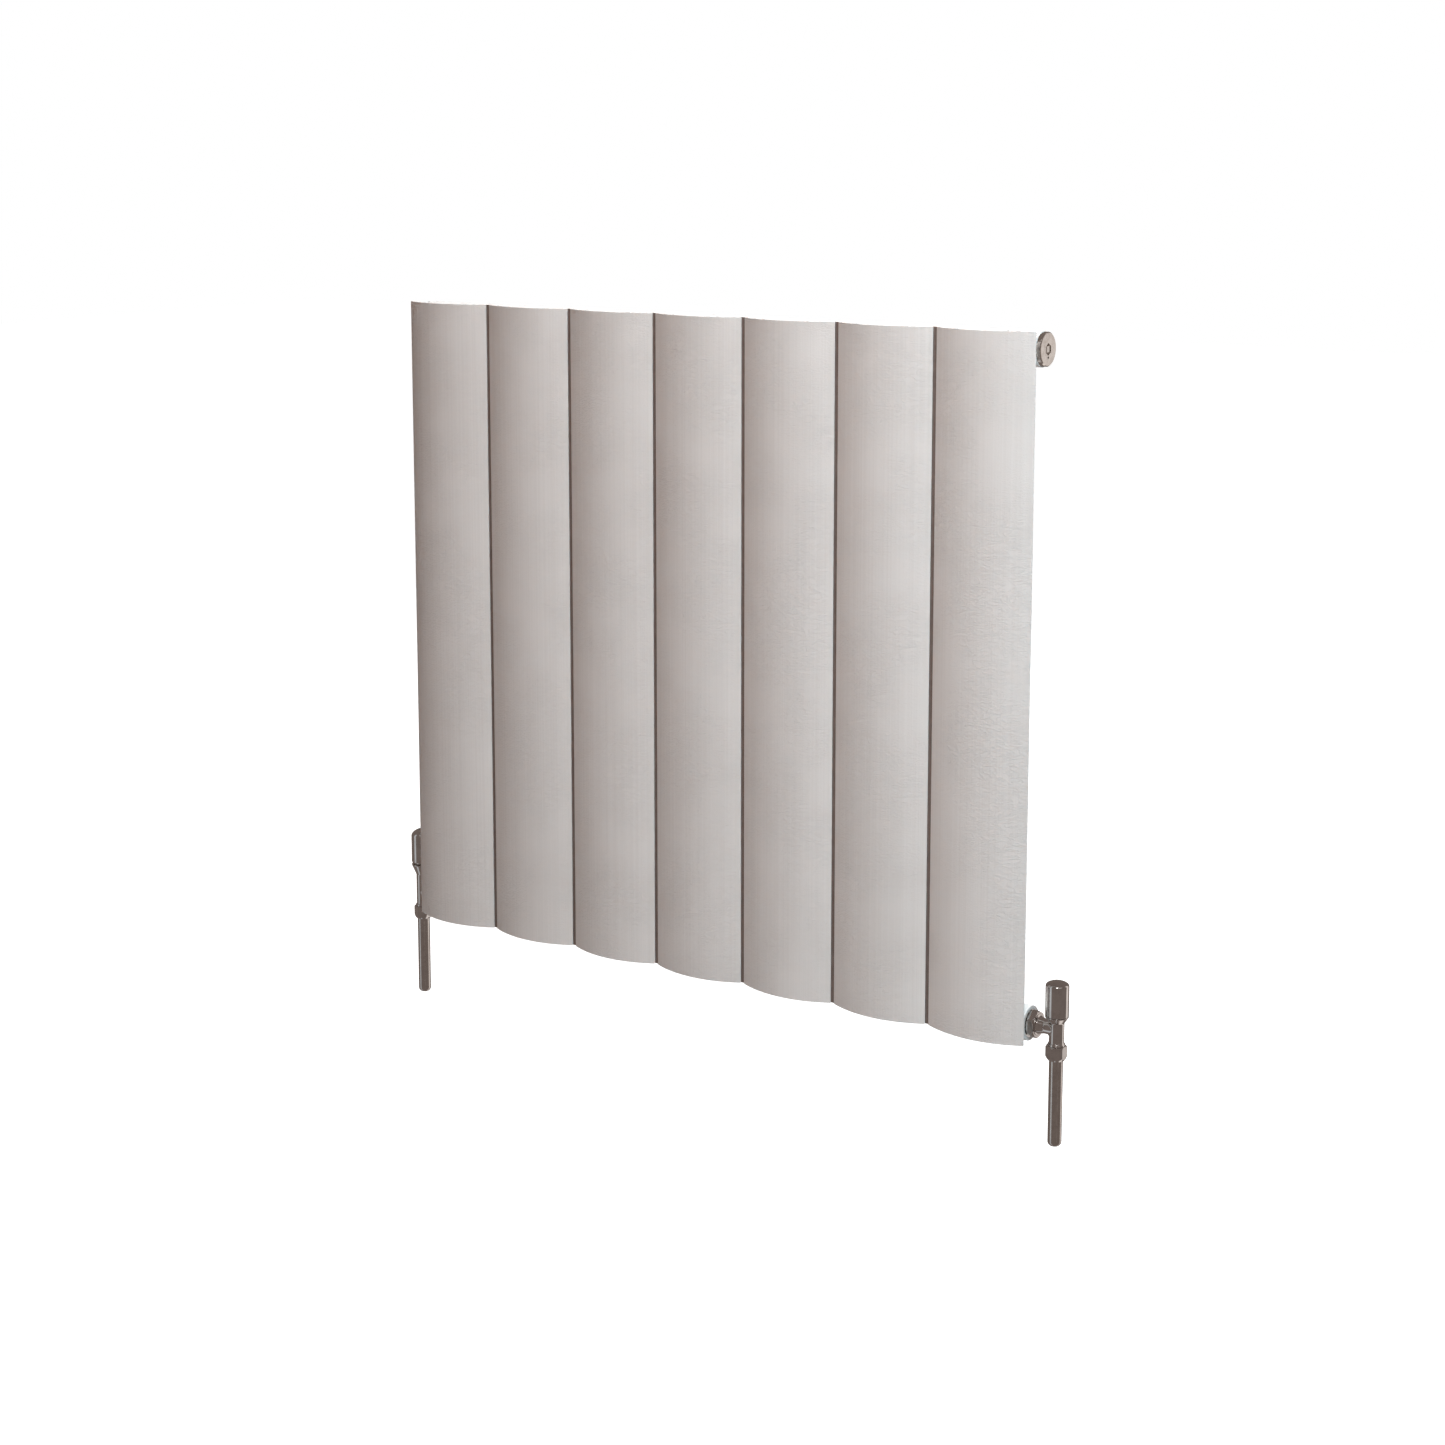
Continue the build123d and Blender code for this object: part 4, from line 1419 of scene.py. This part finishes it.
    def arm_rings(self) -> list[RingRule]:
        """Return the rings of the arm, from its face to the body's wall and back along its bore.

        Returns:
            The rules of the rings.
        """
        outline = [
            (self.arm_bore, self.arm_face, 0.2),
            (self.arm_flange_radius, self.arm_face, 0.3),
            (self.arm_flange_radius, self.arm_thread, 0.3),
            (self.arm_radius, self.arm_thread, 0.8),
            (self.arm_neck, self.arm_taper_end, 3.0),
            (self.arm_neck, self.arm_taper_end + self.arm_root_start, 0.0),
        ]
        points = rounded([(r * MM, h * MM, c * MM) for r, h, c in outline])
        rings = [circle(r, h) for r, h in points[:-1]]
        steps = 12
        rings += [self.root_ring(step / steps) for step in range(steps + 1)]
        within = self.body_radius - self.wall_depth
        last = self.root_ring(1.0)
        rings.append(lambda angle: self.on_body(last(angle) * (within / self.body_radius), within))
        bore = circle(self.arm_bore * MM, 0.0)
        rings.append(lambda angle: self.on_body(bore(angle), within))
        return rings

    def on_body(self, place: Vector, radius: float) -> Vector:
        """Return the point of an upright cylinder of some radius that lies at a place across the arm."""
        depth = sqrt(max(0.0, (radius * MM) ** 2 - place.x**2))
        return Vector((place.x, place.y, self.reach * MM - depth))

    def root_ring(self, share: float) -> RingRule:
        """Return the rule of a ring of the rounded root between arm and body.

        Args:
            share: 0 where the root leaves the arm, 1 where it reaches the body.

        Returns:
            The rule of that ring.
        """
        ball = self.blend
        across = self.arm_neck + ball
        away = self.body_radius + ball

        def rule(angle: float) -> Vector:
            """Return the ring's point at an angle.

            Args:
                angle: Angle around the arm.

            Returns:
                The point.
            """
            x, y = across * cos(angle), across * sin(angle)
            depth = sqrt(away**2 - x**2)
            to_arm = Vector((-cos(angle), -sin(angle), 0.0))
            to_body = Vector((-x, 0.0, depth)) / away
            centre = Vector((x, y, self.reach - depth))
            return (centre + to_arm.slerp(to_body, share) * ball) * MM

        return rule

    def build_union_nut(self) -> None:
        """Build the union nut with turned bevels on both ends."""
        corner = self.union_flats / sqrt(3)
        slope = self.union_bevel / (corner - self.union_face)
        flats, face = self.union_flats * MM, self.union_face * MM
        start, end = self.union_start * MM, self.union_end * MM
        rings = [
            circle(self.union_bore * MM, start),
            clipped_hexagon(flats, face, start),
            bevelled_hexagon(flats, face, start, slope),
            bevelled_hexagon(flats, face, end, -slope),
            clipped_hexagon(flats, face, end),
            circle(self.union_thread * MM, end),
            circle(self.union_thread * MM, self.union_lip_end * MM),
            circle(self.union_bore * MM, self.union_lip_end * MM),
        ]
        nut = spun(f"{self.prefix}_union_hexagon", self.layout.end_seat(self.side, top=False), rings)
        soften_edges(nut, self.nut_edge_round, self.nut_edge_angle)
        self.fit(nut, "union_nut")

    def build_compression_nut(self) -> None:
        """Build the compression nut, tapered at its base."""
        corner = self.nut_flats / sqrt(3)
        flats, base, top = self.nut_flats * MM, self.nut_base * MM, self.nut_top * MM
        base_face, top_face = self.nut_base_face, self.nut_flats / 2
        rings = [
            circle(self.nut_bore * MM, base),
            circle(base_face * MM, base),
            bevelled_hexagon(flats, base_face * MM, base, self.nut_taper / (corner - base_face)),
            bevelled_hexagon(flats, top_face * MM, top, -self.nut_chamfer / (corner - top_face)),
            clipped_hexagon(flats, top_face * MM, top),
            circle(self.nut_thread * MM, top),
            circle(self.nut_thread * MM, self.nut_thread_start * MM),
            circle(self.nut_bore * MM, self.nut_thread_start * MM),
        ]
        nut = spun(f"{self.prefix}_compression_hexagon", self.layout.valve_seat(self.prefix), rings)
        soften_edges(nut, self.nut_edge_round, self.nut_edge_angle)
        self.fit(nut, "compression_nut")

    def build_pipe(self) -> None:
        """Build the supply pipe with its spun-in end and insertion mark."""
        outer = self.pipe_radius
        inner = outer - self.pipe_wall
        floor = self.pipe_end + self.pipe_wall
        mark = outer - self.mark_depth
        mark_start, mark_end = self.nut_base - self.mark_start, self.nut_base + self.mark_end
        outline = [
            (self.pipe_end_hole, self.pipe_end, 0.3),
            (outer, self.pipe_end, self.pipe_end_round),
            (outer, mark_start, 0.0),
            (mark, mark_start, 0.0),
            (mark, mark_end, 0.0),
            (outer, mark_end, 0.0),
            (outer, self.pipe_top, 0.2),
            (inner, self.pipe_top, 0.2),
            (inner, floor, self.pipe_end_round - self.pipe_wall),
            (self.pipe_end_hole, floor, 0.3),
        ]
        piece = turned(f"{self.prefix}_tube", self.layout.valve_seat(self.prefix), outline)
        self.fit(piece, "pipe", "pipe_chrome")

    def crown_outline(self, stop: float = 0.0) -> list[tuple[float, float, float]]:
        """Return the outer outline of a cap or head, from its lower edge to a radius near its middle.

        Args:
            stop: Radius at which the outline ends.

        Returns:
            The corners with their roundings.
        """
        bowl = self.head.value
        arc = (bowl.radius**2 + bowl.crown**2) / (2 * bowl.crown)
        steps = 16
        start = bowl.radius * self.crown_start
        radii = [start + (stop - start) * step / steps for step in range(steps + 1)]
        crown = [(r, bowl.top - arc + sqrt(arc**2 - r**2), 0.0) for r in radii]
        low = [
            (bowl.radius, bowl.rim + self.seating_gap, 0.25),
            (bowl.radius, bowl.top - bowl.crown, bowl.edge_round),
        ]
        return low + crown

    def build_cap(self) -> None:
        """Build the lockshield's pull-off cap."""
        bowl = self.head.value
        inside = bowl.radius - self.shell_wall
        outline = self.crown_outline() + [
            (0.0, bowl.top - self.shell_top, 0.0),
            (inside, bowl.top - self.shell_top, 1.0),
            (inside, bowl.rim + self.seating_gap, 0.25),
        ]
        cap = turned("lockshield_cover_shell", self.layout.valve_seat(self.prefix), outline)
        self.fitter.fit(cap, Body.COVER, "cap_chrome", ["lockshield_cap"])

    def build_wheel(self) -> None:
        """Build the wheel head with its boss, square socket and screw recess."""
        bowl = self.head.value
        inside = bowl.radius - self.shell_wall
        ceiling = bowl.top - self.shell_top - bowl.crown
        boss = bowl.rim + self.boss_level
        socket = boss + self.socket_depth
        recess = bowl.top - self.recess_depth
        hole, screw = self.recess_radius, self.screw_bore
        points = rounded([(r * MM, h * MM, c * MM) for r, h, c in self.crown_outline(stop=hole)])
        rings = [circle(r, h) for r, h in points]
        for radius, height in ((hole, recess), (screw, recess), (screw, socket)):
            rings.append(circle(radius * MM, height * MM))
        rings += [prism(self.socket_flats * MM, 4, height * MM) for height in (socket, boss)]
        rings += [circle(self.boss_radius * MM, height * MM) for height in (boss, ceiling)]
        mouth = bowl.rim + self.seating_gap
        rings += [circle(inside * MM, height * MM) for height in (ceiling, mouth)]
        wheel = spun("wheel_head_shell", self.layout.valve_seat(self.prefix), rings)
        self.fitter.fit(wheel, Body.WHEEL, "cap_chrome", ["wheel_head"])


@dataclass
class MachinedParts:
    """CAD nodes whose shape is right: welded, cleaned of flat seams and edge-rounded by modifiers."""

    fitter: Fitter
    roundings: dict[str, float] = field(
        default_factory=lambda: {
            "joint_strips": 0.3,
            "bracket_liner": 0.25,
            "bracket_lock": 0.12,
            "bracket": 0.45,
            "plug": 0.25,
            "bleed": 0.15,
            "bonnet": 0.2,
            "gland": 0.2,
        }
    )
    least_rounding: float = 0.1
    weld_distance: float = 0.002
    flat_angle: float = 0.6
    edge_angle: float = 32.0
    edge_segments: int = 3
    face_weight: int = 80

    def rounding(self, node: str) -> float:
        """Return the edge rounding of a node, in millimetres."""
        found = [width for word, width in self.roundings.items() if word in node]
        return found[0] if found else self.least_rounding

    def build(self) -> None:
        """Finish every CAD node that no piece stands for."""
        slots = {part["node"]: part["material_slot"] for part in frame["record"]["subparts"]}
        for name, node in sorted(frame["nodes"].items()):
            if name in self.fitter.replaced:
                continue
            self.finish(node, self.rounding(name))
            self.fitter.palette.dress(node, slots[name])
            log.info("%s: carried over, finish %s", name, slots[name])

    def finish(self, node: bpy.types.Object, width: float) -> None:
        """Add the modifiers that clean and round a node.

        Args:
            node: Object of the node.
            width: Width of the edge rounding in millimetres.
        """
        weld = node.modifiers.new("join_faces", "WELD")
        weld.merge_threshold = self.weld_distance * MM
        flat = node.modifiers.new("clean_flats", "DECIMATE")
        flat.decimate_type = "DISSOLVE"
        flat.angle_limit = radians(self.flat_angle)
        bevel = node.modifiers.new("edge_rounding", "BEVEL")
        bevel.width = width * MM
        bevel.segments = self.edge_segments
        bevel.limit_method = "ANGLE"
        bevel.angle_limit = radians(self.edge_angle)
        smooth = node.modifiers.new("weighted_normals", "WEIGHTED_NORMAL")
        smooth.weight = self.face_weight
        for polygon in node.data.polygons:
            polygon.use_smooth = True


# ---------------------------------------------------------------- studio


@dataclass(frozen=True)
class Lamp:
    """Soft rectangular light. Lengths in metres, power in watts; no target means the object's middle."""

    name: str
    place: tuple[float, float, float]
    size: Flat
    power: float
    colour: Colour = (1.0, 1.0, 1.0)
    target: tuple[float, float, float] | None = None
    reflected: bool = False

    def build(self, middle: Vector) -> None:
        """Build the light, facing its target.

        Args:
            middle: Point that a light without a target faces.
        """
        data = bpy.data.lights.new(self.name, "AREA")
        data.shape = "RECTANGLE"
        data.size, data.size_y = self.size
        data.energy = self.power
        data.color = self.colour
        lamp = bpy.data.objects.new(self.name, data)
        lamp.location = self.place
        aim = Vector(self.target) if self.target else middle
        lamp.rotation_euler = (aim - Vector(self.place)).to_track_quat("-Z", "Y").to_euler()
        lamp.visible_glossy = self.reflected
        bpy.context.scene.collection.objects.link(lamp)


LAMPS: tuple[Lamp, ...] = (
    Lamp("key", (1.35, -1.25, 1.1), (0.8, 0.9), 25.5, (0.67, 0.9, 1.0)),
    Lamp("fill", (0.7, -1.7, 1.3), (1.0, 1.0), 12.5, (1.0, 0.45, 0.22)),
    Lamp("crown", (0.1, 0.15, 0.95), (1.5, 0.25), 9.0, target=(0.05, -0.05, 0.3)),
    Lamp("rear", (-0.5, 2.1, 0.9), (2.4, 1.6), 42.0),
    Lamp("glint", (0.9, -1.3, 1.0), (0.35, 0.35), 4.0, target=(0.34, -0.05, -0.28), reflected=True),
)


@dataclass(frozen=True)
class Strip:
    """Upright strip of the surroundings that reflections show.

    Angles in degrees: turn is 0 in front of the radiator and grows to the right; full and end are
    the half widths of the full part and of the whole strip.
    """

    turn: float
    full: float
    end: float

    def mask(self, wiring: Wiring, level: bpy.types.NodeSocket) -> bpy.types.NodeSocket:
        """Return the strip's mask.

        Args:
            wiring: Node builder.
            level: Level part of the direction, one long.

        Returns:
            The mask.
        """
        centre = (sin(radians(self.turn)), -cos(radians(self.turn)), 0.0)
        share = wiring.vector("DOT_PRODUCT", level, centre).outputs["Value"]
        return wiring.spread(share, cos(radians(self.end)), cos(radians(self.full)))


@dataclass
class Studio:
    """Pale floor, surroundings and camera. Lengths in metres, angles in degrees."""

    floor_half: float = 9.0
    floor_drop: float = 0.12
    camera_offset: Vector = field(default_factory=lambda: Vector((0.927, -1.812, 0.759)))
    camera_turn: float = 34.03
    camera_dip: float = 8.42
    lens: float = 62.94
    sensor: float = 36.0
    shift: float = -0.15
    bank: Strip = Strip(140.0, 8.0, 20.0)
    side: Strip = Strip(-43.0, 5.0, 15.0)
    arch: Strip = Strip(40.0, 25.0, 45.0)
    strip_top: Flat = (0.55, 0.75)
    arch_foot: Flat = (0.60, 0.63)
    arch_top: Flat = (0.73, 0.76)
    dim: Colour = (0.2, 0.165, 0.15)
    bank_glow: Colour = (0.95, 0.88, 0.84)
    side_glow: Colour = (0.62, 0.65, 0.68)
    arch_glow: Colour = (1.3, 1.3, 1.3)
    ambient: Colour = (0.015, 0.011, 0.009)

    def build(self) -> None:
        """Build everything around the object."""
        self.build_floor()
        self.build_surroundings()
        middle = (Vector(cad_box[0]) + Vector(cad_box[1])) / 2
        for lamp in LAMPS:
            lamp.build(middle)
        self.build_camera()
        bpy.context.scene.view_settings.view_transform = "Standard"

    def build_floor(self) -> None:
        """Build a wide plain floor below the pipes."""
        level = cad_box[0][2] - self.floor_drop
        shape = bmesh.new()
        corners = [(-1, -1), (1, -1), (1, 1), (-1, 1)]
        reach = self.floor_half
        shape.faces.new([shape.verts.new((x * reach, y * reach, level)) for x, y in corners])
        floor = new_piece("studio_floor", shape)
        tree, material = FinishTree.start("floor_paint")
        tree.settings(Roughness=0.9, Specular_IOR_Level=0.1, Emission_Strength=1.0)
        mottle = tree.noise(tree.place, 30.0, 4.0)
        tree.colour(tree.mix(mottle, (0.5, 0.49, 0.48), (0.55, 0.54, 0.53)))
        seen = tree.node("ShaderNodeLightPath").outputs["Is Camera Ray"]
        tree.link(tree.mix(seen, (0.0, 0.0, 0.0), (1.0, 1.0, 1.0)), tree.shader.inputs["Emission Color"])
        floor.data.materials.append(material)
        floor.visible_glossy = False

    def build_surroundings(self) -> None:
        """Build the world: white behind everything, dim and warm with a few pale strips in reflections."""
        world = bpy.data.worlds.new("studio")
        bpy.context.scene.world = world
        world.use_nodes = True
        wiring = Wiring(world.node_tree)
        background = world.node_tree.nodes["Background"]
        direction = wiring.node("ShaderNodeTexCoord").outputs["Generated"]
        parts = wiring.node("ShaderNodeSeparateXYZ")
        wiring.link(direction, parts.inputs[0])
        level = wiring.vector("MULTIPLY", direction, (1.0, 1.0, 0.0)).outputs[0]
        level = wiring.vector("NORMALIZE", level).outputs[0]
        height = parts.outputs["Z"]
        low = wiring.spread(height, *self.strip_top, 1.0, 0.0)
        bank = wiring.math("MULTIPLY", self.bank.mask(wiring, level), low)
        side = wiring.math("MULTIPLY", self.side.mask(wiring, level), low)
        risen = wiring.spread(height, *self.arch_foot)
        arch = wiring.math("MULTIPLY", risen, wiring.spread(height, *self.arch_top, 1.0, 0.0))
        arch = wiring.math("MULTIPLY", arch, self.arch.mask(wiring, level))
        reflected = wiring.mix(bank, self.dim, self.bank_glow)
        reflected = wiring.mix(side, reflected, self.side_glow)
        reflected = wiring.mix(arch, reflected, self.arch_glow)
        path = wiring.node("ShaderNodeLightPath")
        ambient = wiring.mix(path.outputs["Is Glossy Ray"], self.ambient, reflected)
        shown = wiring.mix(path.outputs["Is Camera Ray"], ambient, (1.0, 1.0, 1.0))
        wiring.link(shown, background.inputs["Color"])

    def build_camera(self) -> None:
        """Place the camera from the lower front corner of the right-hand section."""
        low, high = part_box("section_7")
        data = bpy.data.cameras.new("camera")
        data.lens = self.lens
        data.sensor_width = self.sensor
        data.shift_y = self.shift
        camera = bpy.data.objects.new("camera", data)
        camera.location = Vector((high.x, low.y, low.z)) + self.camera_offset
        camera.rotation_euler = (radians(90 - self.camera_dip), 0.0, radians(self.camera_turn))
        bpy.context.scene.collection.objects.link(camera)
        bpy.context.scene.camera = camera


def main() -> None:
    """Build the radiator's looks and the studio, in order."""
    logging.basicConfig(level=logging.INFO, format="%(name)s: %(message)s")
    fitter = Fitter(Palette())
    layout = Layout()
    Sections(fitter).build()
    Headers(fitter, layout).build()
    Valve(fitter, layout, Side.RIGHT, Head.LOCKSHIELD).build()
    Valve(fitter, layout, Side.LEFT, Head.WHEEL).build()
    MachinedParts(fitter).build()
    Studio().build()


if __name__ == "__main__":
    main()
